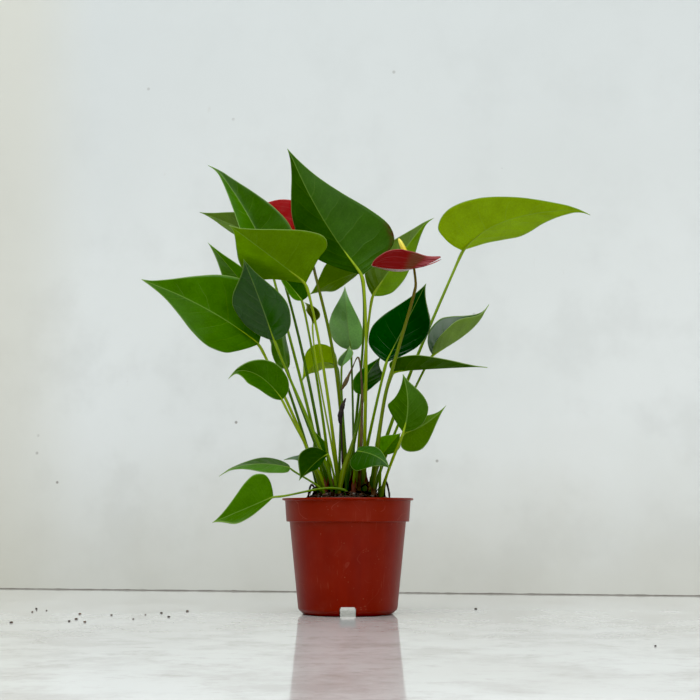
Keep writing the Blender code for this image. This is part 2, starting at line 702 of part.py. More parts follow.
def clear_scene():
    for old in list(bpy.data.objects):
        bpy.data.objects.remove(old)


clear_scene()
plastic = material("pot plastic", (0.33, 0.035, 0.012), 0.4)
mix = material("potting mix", (0.045, 0.028, 0.018), 0.95)
green = material("leaf green", (0.05, 0.16, 0.012), 0.35)
red = material("spathe red", (0.32, 0.006, 0.008), 0.25)
yellow = material("spadix yellow", (0.62, 0.42, 0.02), 0.6)
brown = material("dry sheath", (0.11, 0.05, 0.025), 0.8)

make_pot(plastic)
feet = [(*leaf[1], STALK_FOOT_RADIUS * leaf[-1]) for leaf in LEAVES]
feet += [(*flower[1], STEM_FOOT_SHARE * flower[-1] * MM) for flower in FLOWERS]
feet += [(*stem[1], stem[3][0] * MM) for stem in STEMS]
feet += [(*crown[1], crown[3] * MM) for crown in CROWNS]
feet += [(*end, ROOT_RADIUS) for root in ROOTS for end in root[1:3]]
make_soil(mix, feet)
for leaf in LEAVES:
    make_leaf(leaf, green)
for flower in FLOWERS:
    make_flower(flower, (red, yellow))
for stem in STEMS:
    make_stem(stem, brown)
for crown in CROWNS:
    make_crown(crown, brown)
for root in ROOTS:
    make_root(root, brown)
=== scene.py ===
import math
import random

import bmesh
import bpy
import numpy as np
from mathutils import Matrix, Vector, noise


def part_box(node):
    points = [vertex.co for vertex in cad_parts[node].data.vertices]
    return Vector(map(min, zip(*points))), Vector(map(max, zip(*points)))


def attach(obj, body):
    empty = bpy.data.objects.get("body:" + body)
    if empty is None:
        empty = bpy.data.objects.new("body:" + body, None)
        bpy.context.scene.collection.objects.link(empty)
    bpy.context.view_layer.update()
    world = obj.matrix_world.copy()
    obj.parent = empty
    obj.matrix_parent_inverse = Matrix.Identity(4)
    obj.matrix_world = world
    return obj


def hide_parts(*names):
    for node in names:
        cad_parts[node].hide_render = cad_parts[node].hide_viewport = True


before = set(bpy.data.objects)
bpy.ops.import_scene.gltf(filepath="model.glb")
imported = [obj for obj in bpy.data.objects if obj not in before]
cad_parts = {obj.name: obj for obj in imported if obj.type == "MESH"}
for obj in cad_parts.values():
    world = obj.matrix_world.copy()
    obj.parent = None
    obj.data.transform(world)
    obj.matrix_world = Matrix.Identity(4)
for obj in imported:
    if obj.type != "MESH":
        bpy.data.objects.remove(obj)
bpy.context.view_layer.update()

# ---- Pot ----
# The pot is one thin injection moulding in brick-red polypropylene: a flat lip over a straight band
# that stiffens the mouth, a tapered body for nesting, and a raised base on a foot ring. Two notches
# in the ring and four holes in the base let the water out.
MM = 0.001
pot_low, pot_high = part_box("pot")
axis_x = (pot_low.x + pot_high.x) / 2
axis_y = (pot_low.y + pot_high.y) / 2
pot_top = pot_high.z
band_height = 0.0212
band_bottom = pot_top - band_height
base_rise = 0.0085
pot_wall = 0.0014
lip_radius = 0.0600
pot_sides = 160
notch_width = 0.0145
drain_radius = 0.0035
drain_ring = 0.024


def rounded(corners):
    """A closed outline from (radius, height, rounding) corners."""
    outline = []
    for i, (radius, height, rounding) in enumerate(corners):
        here = Vector((radius, height))
        if not rounding:
            outline.append(here)
            continue
        before = Vector(corners[i - 1][:2])
        after = Vector(corners[(i + 1) % len(corners)][:2])
        start = here + (before - here).normalized() * rounding
        end = here + (after - here).normalized() * rounding
        for step in range(5):
            t = step / 4
            outline.append((1 - t) ** 2 * start + 2 * t * (1 - t) * here + t * t * end)
    return outline


def turned(outline, sides):
    """A bmesh turned about the pot's axis from a closed outline."""
    made = bmesh.new()
    rings = []
    for radius, height in outline:
        if radius < 1e-6:
            rings.append([made.verts.new((axis_x, axis_y, height))] * sides)
            continue
        ring = []
        for k in range(sides):
            turn = math.tau * k / sides
            spot = (axis_x + radius * math.cos(turn), axis_y + radius * math.sin(turn), height)
            ring.append(made.verts.new(spot))
        rings.append(ring)
    for here, there in zip(rings, rings[1:] + rings[:1]):
        for k in range(sides):
            n = (k + 1) % sides
            corners = list(dict.fromkeys((here[k], here[n], there[n], there[k])))
            if len(corners) > 2:
                made.faces.new(corners)
    return made


def piece_from(name, mesh_data, materials, crease=35):
    """The object of a bmesh, smooth but for its sharper edges."""
    bmesh.ops.recalc_face_normals(mesh_data, faces=mesh_data.faces)
    mesh = bpy.data.meshes.new(name)
    mesh_data.to_mesh(mesh)
    mesh_data.free()
    for material in materials:
        mesh.materials.append(material)
    mesh.shade_smooth()
    mesh.set_sharp_from_angle(angle=math.radians(crease))
    made = bpy.data.objects.new(name, mesh)
    bpy.context.scene.collection.objects.link(made)
    return made


def cut_away(target, cutters):
    """Cuts the cutters out of the target for good, and removes them."""
    for cutter in cutters:
        step = target.modifiers.new("cut", "BOOLEAN")
        step.operation = "DIFFERENCE"
        step.object = cutter
        step.solver = "EXACT"
    graph = bpy.context.evaluated_depsgraph_get()
    mesh = bpy.data.meshes.new_from_object(target.evaluated_get(graph))
    target.modifiers.clear()
    target.data = mesh
    for cutter in cutters:
        bpy.data.objects.remove(cutter)


def add_node(tree, kind, feeds=None, **settings):
    """A shader node. Each feed goes to the input of that name or number, as a value or from a socket."""
    made = tree.nodes.new("ShaderNode" + kind)
    for key, value in settings.items():
        setattr(made, key, value)
    for key, value in (feeds or {}).items():
        if isinstance(value, bpy.types.NodeSocket):
            tree.links.new(value, made.inputs[key])
        else:
            made.inputs[key].default_value = value
    return made


def blend(tree, share, first, second, mode="MIX"):
    """Two colours mixed by a share."""
    feeds = {0: share, 6: first, 7: second}
    return add_node(tree, "Mix", feeds, data_type="RGBA", blend_type=mode).outputs[2]


def maths(tree, operation, *values):
    """One step of arithmetic on values or sockets."""
    return add_node(tree, "Math", dict(enumerate(values)), operation=operation).outputs[0]


def mask(tree, value, low, high):
    """0 below low and 1 above high, with a soft step between; the other way round if low is the higher."""
    feeds = {"Value": value, "From Min": low, "From Max": high}
    return add_node(tree, "MapRange", feeds, interpolation_type="SMOOTHSTEP").outputs[0]


def laid_over(tree, base, where, share, colour):
    """The base with another colour laid over it where a mask says, up to a given share."""
    return blend(tree, maths(tree, "MULTIPLY", where, share), base, (*colour, 1))


def speckle(tree, place, scale, detail=3.0, roughness=0.55):
    """Noise that varies over the surface, as a value of about 0.3 to 0.7."""
    feeds = {"Vector": place, "Scale": scale, "Detail": detail, "Roughness": roughness}
    return add_node(tree, "TexNoise", feeds).outputs[0]


def stretched(tree, place, x, y, z):
    """Coordinates scaled by a different amount each way."""
    return add_node(tree, "Mapping", {"Vector": place, "Scale": (x, y, z)}).outputs[0]


def shader_group(name, takes, gives):
    """An empty shader group with its named inputs and outputs."""
    group = bpy.data.node_groups.new(name, "ShaderNodeTree")
    for label, kind, value in takes:
        socket = group.interface.new_socket(name=label, in_out="INPUT", socket_type="NodeSocket" + kind)
        socket.default_value = value
    for label, kind in gives:
        group.interface.new_socket(name=label, in_out="OUTPUT", socket_type="NodeSocket" + kind)
    return group, group.nodes.new("NodeGroupInput").outputs, group.nodes.new("NodeGroupOutput").inputs


def new_material(name, **sockets):
    """A material with its Principled shader's plain values set."""
    made = bpy.data.materials.new(name)
    made.use_nodes = True
    shader = made.node_tree.nodes["Principled BSDF"]
    for key, value in sockets.items():
        shader.inputs[key.replace("_", " ")].default_value = value
    return made, made.node_tree, shader


def place_group(tree, group, feeds):
    """A shader group put into a material with its own values."""
    return add_node(tree, "Group", feeds, node_tree=group)


# Handling dust: pale specks and a thin film that gathers in patches on the pot's sides.
dust_group, dust_in, dust_out = shader_group(
    "Handling dust",
    (("Surface", "Color", (0.5, 0.5, 0.5, 1)), ("Dust", "Color", (0.5, 0.45, 0.4, 1)),
     ("Film", "Float", 0.1), ("Specks", "Float", 0.3)),
    (("Colour", "Color"), ("Amount", "Float")),
)
dust_place = add_node(dust_group, "TexCoord").outputs["Object"]
dust_cloud = mask(dust_group, speckle(dust_group, dust_place, 55, 3), 0.48, 0.75)
dust_spots = add_node(dust_group, "TexVoronoi", {"Vector": dust_place, "Scale": 420}).outputs["Distance"]
dust_chance = mask(dust_group, speckle(dust_group, dust_place, 160, 1), 0.60, 0.72)
dust_dots = maths(dust_group, "MULTIPLY", mask(dust_group, dust_spots, 0.26, 0.14), dust_chance)
dust_film = maths(dust_group, "MULTIPLY", dust_cloud, dust_in["Film"])
dust_amount = maths(dust_group, "MULTIPLY_ADD", dust_dots, dust_in["Specks"], dust_film)
dust_group.links.new(blend(dust_group, dust_amount, dust_in["Surface"], dust_in["Dust"]), dust_out["Colour"])
dust_group.links.new(dust_amount, dust_out["Amount"])

plastic, plastic_tree, plastic_shader = new_material("brick-red polypropylene", IOR=1.49)
plastic_shader.inputs["Specular IOR Level"].default_value = 0.25
plastic_place = add_node(plastic_tree, "TexCoord").outputs["Object"]
streaks = speckle(plastic_tree, stretched(plastic_tree, plastic_place, 1, 1, 0.06), 150, 3)
clouds = speckle(plastic_tree, plastic_place, 22, 3)
light_streaks = mask(plastic_tree, streaks, 0.35, 0.7)
body_red = blend(plastic_tree, light_streaks, (0.158, 0.0054, 0.0005, 1), (0.186, 0.0072, 0.0008, 1))
body_red = blend(plastic_tree, mask(plastic_tree, clouds, 0.3, 0.75), body_red, (0.198, 0.0094, 0.0014, 1))
scratch_lines = speckle(plastic_tree, stretched(plastic_tree, plastic_place, 1, 1, 0.03), 620, 1)
scratch_where = mask(plastic_tree, clouds, 0.45, 0.62)
scratches = maths(plastic_tree, "MULTIPLY", mask(plastic_tree, scratch_lines, 0.66, 0.72), scratch_where)
rub_bend = maths(plastic_tree, "SUBTRACT", speckle(plastic_tree, plastic_place, 34, 1), 0.5)
rub_lines = mask(plastic_tree, maths(plastic_tree, "ABSOLUTE", rub_bend), 0.0070, 0.0)
rub_where = mask(plastic_tree, speckle(plastic_tree, plastic_place, 70, 2), 0.48, 0.60)
plastic_level = add_node(plastic_tree, "SeparateXYZ", {0: plastic_place}).outputs[2]
# The rim band: the scuffs gather on it, and it is also painted lighter as painted light from above.
scuffed_and_lit_band = mask(plastic_tree, plastic_level, 0.070, 0.082)
scuff_share = maths(plastic_tree, "MULTIPLY_ADD", scuffed_and_lit_band, 0.75, 0.25)
scuffs = maths(plastic_tree, "MULTIPLY", maths(plastic_tree, "MULTIPLY", rub_lines, rub_where), scuff_share)
body_red = laid_over(plastic_tree, body_red, scratches, 0.30, (0.30, 0.07, 0.04))
body_red = laid_over(plastic_tree, body_red, scuffs, 0.55, (0.42, 0.13, 0.09))
# Painted light: the rim band lighter and more orange, as if lit from above.
body_red = laid_over(plastic_tree, body_red, scuffed_and_lit_band, 0.40, (0.205, 0.0125, 0.0012))
dust_feeds = {"Surface": body_red, "Dust": (0.30, 0.10, 0.06, 1), "Film": 0.05, "Specks": 0.75}
plastic_dust = place_group(plastic_tree, dust_group, dust_feeds)
plastic_tree.links.new(plastic_dust.outputs["Colour"], plastic_shader.inputs["Base Color"])
plastic_rough = maths(plastic_tree, "MULTIPLY_ADD", plastic_dust.outputs["Amount"], 0.6, 0.34)
plastic_rough = maths(plastic_tree, "MULTIPLY_ADD", streaks, 0.10, plastic_rough)
plastic_tree.links.new(plastic_rough, plastic_shader.inputs["Roughness"])
plastic_grain = speckle(plastic_tree, plastic_place, 900, 2)
plastic_height = maths(plastic_tree, "MULTIPLY", plastic_grain, 0.3)
plastic_height = maths(plastic_tree, "MULTIPLY_ADD", streaks, 0.7, plastic_height)
plastic_feeds = {"Height": plastic_height, "Strength": 0.18, "Distance": 0.0006}
plastic_bump = add_node(plastic_tree, "Bump", plastic_feeds)
plastic_tree.links.new(plastic_bump.outputs[0], plastic_shader.inputs["Normal"])

pot_outline = rounded((
    (0.0, base_rise, 0),
    (0.0120, base_rise, 0.0004), (0.0124, base_rise - 0.0006, 0.0003), (0.0136, base_rise - 0.0006, 0.0003),
    (0.0140, base_rise, 0.0004), (0.0380, base_rise, 0.0008), (0.0381, 0, 0.0005), (0.0404, 0, 0.0008),
    (0.0451, 0.0042, 0.0016), (0.0532, band_bottom, 0.0007), (0.0561, band_bottom, 0.0008),
    (0.0575, pot_top - 0.0022, 0.0006), (lip_radius, pot_top - 0.0018, 0.0005), (lip_radius, pot_top, 0.0006),
    (0.0569, pot_top, 0.0008), (0.0557, pot_top - 0.0026, 0.0008), (0.0547, band_bottom + 0.0016, 0.0010),
    (0.0517, band_bottom, 0.0008), (0.0440, base_rise + pot_wall, 0.0012), (0.0, base_rise + pot_wall, 0),
))
pot = piece_from("nursery_pot", turned(pot_outline, pot_sides), (plastic,))
notch = bmesh.new()
bmesh.ops.create_cube(notch, size=1.0)
bmesh.ops.scale(notch, verts=notch.verts, vec=(notch_width, 0.16, 2 * base_rise))
bmesh.ops.translate(notch, verts=notch.verts, vec=(axis_x, axis_y, -0.0001))
bmesh.ops.bevel(notch, geom=[e for e in notch.edges if abs(e.verts[0].co.y - e.verts[1].co.y) > 0.1],
                offset=0.0012, segments=4, affect="EDGES")
cutters = [piece_from("notch_bar", notch, ())]
for k in range(4):
    turn = math.tau * (k + 0.5) / 4
    drill = bmesh.new()
    bmesh.ops.create_cone(
        drill, cap_ends=True, segments=24, radius1=drain_radius, radius2=drain_radius, depth=0.02
    )
    spot = (axis_x + drain_ring * math.cos(turn), axis_y + drain_ring * math.sin(turn), base_rise)
    bmesh.ops.translate(drill, verts=drill.verts, vec=spot)
    cutters.append(piece_from(f"drain_drill_{k}", drill, ()))
cut_away(pot, cutters)
pot.data.shade_smooth()
pot.data.set_sharp_from_angle(angle=math.radians(35))
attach(pot, "root")
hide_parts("pot")

# ---- Potting mix ----
# The mix is peat with bark and a little perlite, poured in to just under the lip and pushed up
# round the stems. Loose crumbs, bark chips and root hairs lie over it.
soil_edge = 0.0960
mix_radius = 0.0528
soil_crown = 0.0150
soil_roughness = 0.0011
soil_rings = 70
soil_sides = 200
chip_count = 900
chip_spread = 0.0515


def mix_height(x, y):
    """The top of the mix under a point given in metres from the pot's axis."""
    radius = math.hypot(x, y) / mix_radius
    lumps = noise.noise(Vector((x, y, 0)) / 0.006) + 0.6 * noise.noise(Vector((x, y, 0.006)) / 0.003)
    return soil_edge + soil_crown * (1 - radius**2) + soil_roughness * lumps


def crumbed_height(x, y):
    """That height with the crumbs of the mix on it."""
    crumbs = noise.noise(Vector((x, y, 0.1)) / 0.0016) + 0.5 * noise.noise(Vector((x, y, 0.3)) / 0.0008)
    return mix_height(x, y) + 0.0007 * crumbs


# Damp peat: near-black brown with paler dry fibres and painted shade in its hollows, used on the mix, its
# chips and the roots.
peat_group, peat_in, peat_out = shader_group(
    "Damp peat",
    (("Dark", "Color", (0.012, 0.008, 0.005, 1)), ("Dry", "Color", (0.11, 0.06, 0.032, 1)),
     ("Dryness", "Float", 0.5), ("Scale", "Float", 600.0)),
    (("Colour", "Color"), ("Roughness", "Float"), ("Height", "Float")),
)
peat_place = add_node(peat_group, "TexCoord").outputs["Object"]
peat_patches = speckle(peat_group, peat_place, 130, 4)
peat_crumbs = speckle(peat_group, peat_place, peat_in["Scale"], 4, 0.7)
peat_fibres = speckle(peat_group, stretched(peat_group, peat_place, 0.25, 1, 1), 1400, 2)
peat_share = maths(peat_group, "MULTIPLY", mask(peat_group, peat_patches, 0.35, 0.7), peat_in["Dryness"])
peat_share = maths(peat_group, "MULTIPLY_ADD", mask(peat_group, peat_fibres, 0.56, 0.70), 0.35, peat_share)
peat_colour = blend(peat_group, peat_share, peat_in["Dark"], peat_in["Dry"])
# Painted shade: near-black in the hollows between the crumbs.
peat_hollow_shade = mask(peat_group, peat_crumbs, 0.7, 0.3)
peat_colour = blend(peat_group, peat_hollow_shade, peat_colour, (0.006, 0.004, 0.003, 1))
peat_group.links.new(peat_colour, peat_out["Colour"])
peat_group.links.new(maths(peat_group, "MULTIPLY_ADD", peat_share, 0.25, 0.68), peat_out["Roughness"])
peat_bumps = maths(peat_group, "ADD", peat_crumbs, maths(peat_group, "MULTIPLY", peat_fibres, 0.4))
peat_group.links.new(peat_bumps, peat_out["Height"])


def wear_skin(tree, skin, shader, strength, distance):
    """Joins a placed group's colour, roughness and height to the shader; gives the bumped normal."""
    feeds = {"Height": skin.outputs["Height"], "Strength": strength, "Distance": distance}
    bumped = add_node(tree, "Bump", feeds).outputs[0]
    tree.links.new(skin.outputs["Colour"], shader.inputs["Base Color"])
    tree.links.new(skin.outputs["Roughness"], shader.inputs["Roughness"])
    tree.links.new(bumped, shader.inputs["Normal"])
    return bumped


def peat_material(name, dark, dry, dryness, scale):
    """A finish of the mix: peat, bark or perlite."""
    made, tree, shader = new_material(name)
    feeds = {"Dark": (*dark, 1), "Dry": (*dry, 1), "Dryness": dryness, "Scale": scale}
    wear_skin(tree, place_group(tree, peat_group, feeds), shader, 0.9, 0.0009)
    return made


peat = peat_material("damp peat", (0.014, 0.009, 0.006), (0.085, 0.045, 0.024), 0.6, 600)
bark = peat_material("bark chip", (0.050, 0.022, 0.010), (0.21, 0.105, 0.050), 0.9, 500)
perlite = peat_material("perlite", (0.26, 0.22, 0.17), (0.50, 0.46, 0.40), 0.9, 700)

mix = bmesh.new()
mix_floor = base_rise + pot_wall + 0.0003
mix_wall = ((0.0510, 0.080), (0.0438, mix_floor))
rings = []
for ring in range(1, soil_rings + 1):
    spots = []
    for k in range(soil_sides):
        turn = math.tau * k / soil_sides
        radius = (mix_radius - 0.0002) * (ring / soil_rings) ** 0.85
        x, y = radius * math.cos(turn), radius * math.sin(turn)
        spots.append(mix.verts.new((axis_x + x, axis_y + y, crumbed_height(x, y))))
    rings.append(spots)
for radius, height in mix_wall:
    ring = []
    for k in range(soil_sides):
        turn = math.tau * k / soil_sides
        x, y = radius * math.cos(turn), radius * math.sin(turn)
        ring.append(mix.verts.new((axis_x + x, axis_y + y, height)))
    rings.append(ring)
middle = mix.verts.new((axis_x, axis_y, crumbed_height(0, 0)))
for k in range(soil_sides):
    n = (k + 1) % soil_sides
    mix.faces.new((middle, rings[0][k], rings[0][n]))
    for inner, outer in zip(rings, rings[1:]):
        mix.faces.new((inner[k], outer[k], outer[n], inner[n]))
mix.faces.new(rings[-1])
potting_mix = piece_from("potting_mix", mix, (peat,), 180)
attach(potting_mix, "root")
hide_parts("soil")

chips = bmesh.new()
chance = random.Random(12)
for number in range(chip_count):
    radius = chip_spread * math.sqrt(chance.random())
    turn = math.tau * chance.random()
    x, y = radius * math.cos(turn), radius * math.sin(turn)
    kind = chance.random()
    size = chance.uniform(0.0007, 0.0017)
    shape = (1, 1, 1)
    finish = 0
    if kind > 0.55:
        shape, size, finish = (1.6, 0.8, 0.45), size * 1.35, 1
    if kind > 0.955:
        shape, size, finish = (1, 0.9, 0.8), 0.0011, 2
    fresh = bmesh.ops.create_icosphere(chips, subdivisions=2 if finish else 1, radius=size)["verts"]
    tilt = Vector((chance.uniform(-0.5, 0.5), chance.uniform(-0.5, 0.5), 1)).normalized()
    spin = tilt.to_track_quat("Z", "Y")
    lie = chance.uniform(0, math.tau)
    for v in fresh:
        rough = 1 + 0.45 * noise.noise(v.co / size * 1.3 + Vector((number * 3.1, 0, 0)))
        flat = Vector((v.co.x * shape[0], v.co.y * shape[1], v.co.z * shape[2])) * rough
        turned_x = flat.x * math.cos(lie) - flat.y * math.sin(lie)
        turned_y = flat.x * math.sin(lie) + flat.y * math.cos(lie)
        turned_spot = Vector((turned_x, turned_y, flat.z))
        v.co = spin @ turned_spot + Vector((axis_x + x, axis_y + y, mix_height(x, y) + size * shape[2] * 0.5))
    for face in {f for v in fresh for f in v.link_faces}:
        face.material_index = finish
crumbs = piece_from("mix_crumbs", chips, (peat, bark, perlite), 60)
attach(crumbs, "root")

# ---- Leaves ----
# Each leaf is a heart-shaped blade on a long round stalk. The blade is thin leathery tissue over a
# midrib that stands out below and lies in a groove above, with side veins that sweep to the edge;
# the stalk thickens into a short pale joint where it takes the blade.
blade_thickness = 0.00060
stalk_sink = 0.004
stalk_foot = 0.0021
stalk_neck = 0.0013
joint_length = 0.012
stalk_start = 0.003
stalk_leave = 0.3
stalk_arrive = 0.25
neck_drop = 0.55
side_veins = 9
vein_sweep = 0.6
vein_bow = 1.3

# Half of a leaf's edge: forward as a share of the midrib, out as a share of the half width, and how
# much of the leaf's own lobe length it is drawn back by.
widest = 0.30
leaf_edge = (
    (0.0, 0.0, 0.0), (0.005, 0.28, -0.6), (0.04, 0.60, -1.0), (0.13, 0.88, -0.6), (widest, 1.0, 0.0),
    (0.46, 0.85, 0.0), (0.62, 0.57, 0.0), (0.78, 0.28, 0.0), (0.91, 0.09, 0.0), (1.0, 0.0, 0.0),
)
midrib_rows = (0.0, 0.02, 0.05, 0.10, 0.20, 0.36, 0.54, 0.74, 0.90, 1.0)

# Each leaf: name, foot in the mix (x, y), the blade's base, midrib middle, tip, and widest place on
# the left and the right with the tip ahead, in mm about the pot's axis; curl, lobe and girth.
leaves = (
    ("far_left", (-24, -4), (-81, -20, 244), (-133, -22, 278), (-188.9, -25, 302),
     (-126, -48, 239), (-94, -20, 302), -15, -0.05, 1),
    ("behind_left", (-27, 6), (-87, 34, 290), (-110, 38, 321), (-136, 45, 351),
     (-112, 29, 295), (-90, 25, 312), 10, 0.05, 0.9),
    ("tall_left", (-21, 5), (-75, 20, 330), (-100, 38, 382), (-134, 60, 433),
     (-97, 6, 342), (-55, 20, 362), -10, 0.05, 1),
    ("high_back_left", (-18, 13), (-75, 72, 354), (-111, 80, 374), (-149, 92, 391),
     (-93, 66, 382), (-105, 96.2, 363), -10, 0.05, 1),
    ("glossy_left", (-13, -14), (-67, -25, 246), (-80, -37, 283), (-94, -47, 318),
     (-104, -37, 276), (-53, -50, 274), -15, 0, 1),
    ("bright_front", (-8, -8), (-38, -35, 298), (-73, -55, 322), (-103, -74.8, 342),
     (-22, -50, 338), (-93, -22, 309), -20, -0.1, 1),
    ("tallest", (15, -8), (14, -12, 309), (-26, 3, 370), (-57, 20, 438),
     (38, -10, 357), (-47, 26, 351), -10, -0.05, 1.1),
    ("under_tallest", (3, 5), (12, 28, 320), (-12, 36, 312), (-37, 46, 300),
     (-15, 24, 331), (-11, 54, 306), -10, 0, 0.9),
    ("behind_flower", (8, 8), (23, 24, 295), (50, 36, 336), (80, 50, 377),
     (54, 50, 314), (23, 50, 338), 10, -0.03, 1),
    ("far_right", (21, 8), (110, 40, 342), (157, 34, 372), (232, 22, 378),
     (166, 62, 360), (95, 8, 375), -10, -0.05, 1.1),
    ("dark_right", (11, -2), (35, -11, 228), (54, -13, 265), (72, -20, 300),
     (22, -4, 261), (74, -21, 254), -15, -0.03, 1),
    ("side_right", (24, 2), (78, 2, 237), (113, 1, 259), (128, -2, 280),
     (87, 16, 272), (98, -19, 264), 10, 0, 0.9),
    ("flat_right", (21, -12), (41, -22, 219), (81, -27, 221), (123, -34, 222),
     (70, 0, 232), (61, -44, 231), -15, 0.05, 1),
    ("round_right", (30, -19), (49, -60, 161), (53, -62, 186), (49, -54, 213),
     (71, -61, 182), (36, -44, 186), -15, 0, 0.8),
    ("low_right", (31, -11), (50, -45, 161), (67, -43, 168), (86, -40, 183),
     (64, -39, 146), (56, -27, 175), -10, 0.1, 0.8),
    ("pale_middle", (6, 14), (3, 50, 247), (-1, 54, 280), (-3, 68, 312),
     (-18, 44, 269), (14, 46, 265), 20, 0, 0.8),
    ("small_oval", (0, 8), (-6, 25, 228), (-2, 27, 238), (2, 30, 249),
     (-9, 24, 235), (5, 24, 240), 10, 0, 0.7),
    ("back_middle", (-8, 16), (-10, 56, 232), (-29, 60, 235), (-44, 60, 219),
     (-30, 46, 252), (-26, 76, 230), -20, 0, 0.8),
    ("dark_middle", (-2, -15), (14, 4, 200), (18, 7, 218), (31, 12, 236),
     (5, 2, 213), (33, 1, 216), -10, 0, 1.2),
    ("lower_left", (-20, -12), (-59, -30, 192), (-82, -38, 214), (-104, -45, 215),
     (-83, -62, 201), (-63, -36, 223), -20, 0, 0.8),
    ("edge_on_left", (-17, -7), (-56, 0, 224), (-61, -2, 256), (-60, -4, 288),
     (-70, -12, 239), (-56, 14, 244), 0, 0, 0.8),
    ("young", (-9, -1), (-33, 0, 265), (-32, 0, 276), (-41, 2, 286),
     (-39, -5, 277), (-26, -5, 274), 20, -0.1, 0.6),
    ("low_left", (-22, -20), (-52, -25, 131), (-83, -30, 134), (-111, -35, 127),
     (-69, -38, 126), (-73, -24, 140), -10, 0, 0.6),
    ("over_rim", (-2, -27), (-66, -38, 105), (-91, -45, 94), (-119, -52, 82),
     (-95, -60, 82), (-83, -48, 124), -10, 0, 0.7),
    ("base_left", (-10, -21), (-18, -38, 143), (-30, -46, 134), (-43, -50, 119),
     (-41, -59, 143), (-28, -38, 129), -25, 0, 0.7),
    ("base_inner", (-11, 9), (-24, 15, 141), (-26, 17, 154), (-32, 20, 168),
     (-32, 12, 151), (-18, 12, 150), 0, 0, 0.7),
    ("base_front", (5, -21), (8, -27, 146), (26, -46, 140), (37, -57, 129),
     (23, -30, 150), (7, -42, 128), -30, 0, 0.7),
    ("base_right", (29, -4), (31, -9, 143), (40, -11, 154), (48, -14, 163),
     (27, -9, 158), (47, -20, 149), 0, 0, 0.7),
    ("base_back_left", (-25, 14), (-33, 22, 146), (-46, 24, 144), (-60, 26, 140),
     (-43, 12, 139), (-42, 34, 146), 0, 0, 0.7),
    ("under_bright", (-15, 2), (-43, 10, 289), (-56, 18, 306), (-71, 26, 324),
     (-56, 4, 295), (-39, 6, 303), 0, 0, 0.9),
)
# Where a tip runs on into a thread that bends away: how far it has bent at its end, in mm.
tip_hooks = {
    "far_right": (-1, 0, -5), "tall_left": (-4, 0, -2), "lower_left": (-3, 0, -6), "side_right": (3, 0, 3),
    "far_left": (0, 0, 1), "tallest": (-1, 0, -0.6), "behind_flower": (4, 0, -1), "back_middle": (-2, 0, -4),
    "low_right": (2, 0, 3), "flat_right": (3, 0, -1), "low_left": (-4, 0, -4), "bright_front": (-2, 0, 1),
}


def placed(spot):
    """A point given in mm about the pot's axis, in metres about the origin."""
    return np.array((axis_x + spot[0] * MM, axis_y + spot[1] * MM, spot[2] * MM))


def unit(vectors):
    return vectors / np.maximum(np.linalg.norm(vectors, axis=-1, keepdims=True), 1e-12)


def dot(a, b):
    return (a * b).sum(-1, keepdims=True)


def along_curve(points, shares):
    """The smooth curve through all the points, at each share of the way over them."""
    points = np.asarray(points, float)
    spans = len(points) - 1
    ends = np.vstack([2 * points[0] - points[1], points, 2 * points[-1] - points[-2]])
    i = np.minimum((np.asarray(shares) * spans).astype(int), spans - 1)
    f = (shares * spans - i)[:, None]
    a, b, c, d = (ends[i + k] for k in range(4))
    return 0.5 * (2 * b + (c - a) * f + (2 * a - 5 * b + 4 * c - d) * f**2 + (3 * b - a - 3 * c + d) * f**3)


class Blade:
    """The curved surface of one leaf or spathe, reached by its flat places (forward, out)."""

    def __init__(self, spots, curl, edge):
        self.base, middle, self.tip, left, right = (placed(spot) for spot in spots)
        self.control = 2 * middle - (self.base + self.tip) / 2
        self.curl = math.radians(curl)
        self.edge = edge
        start, ahead = self.spine(np.array(widest))
        spans = [spot - start for spot in (left, right)]
        flat = [span - dot(span, ahead) * ahead for span in spans]
        self.up = unit(np.cross(ahead, unit(flat[0])) + np.cross(unit(flat[1]), ahead))
        side = np.cross(self.up, ahead)
        self.halves = np.array([(f @ side, f @ self.up, span @ ahead) for f, span in zip(flat, spans)])

    def spine(self, forward):
        """The midrib's points there, and the directions along it."""
        f = forward[..., None]
        points = (1 - f) ** 2 * self.base + f**2 * self.tip + 2 * f * (1 - f) * self.control
        return points, unit((1 - f) * (self.control - self.base) + f * (self.tip - self.control))

    def rib(self, forward):
        """The midrib's points there, with the directions along it and up from it."""
        points, ahead = self.spine(np.asarray(forward, float))
        return points, ahead, unit(self.up - dot(self.up, ahead) * ahead)

    def surface(self, forward, out):
        """The places on the blade, each out from the midrib by a share of its own half's reach."""
        ribs, ahead, normal = self.rib(forward)
        reach, rise, sweep = (self.halves[(out <= 0).astype(int)][..., k, None] for k in range(3))
        share = np.abs(out)[..., None]
        soft = (np.sqrt(share**2 + 0.0036) - 0.06) / 0.9418
        bow = 0.5 * math.tan(self.curl / 2) * share * (1 - share)
        side = reach * share - bow * rise * np.where(out > 0, 1, -1)[..., None]
        lift = rise * soft - bow * np.abs(reach)
        return ribs + side * np.cross(normal, ahead) + lift * normal + sweep * share * ahead


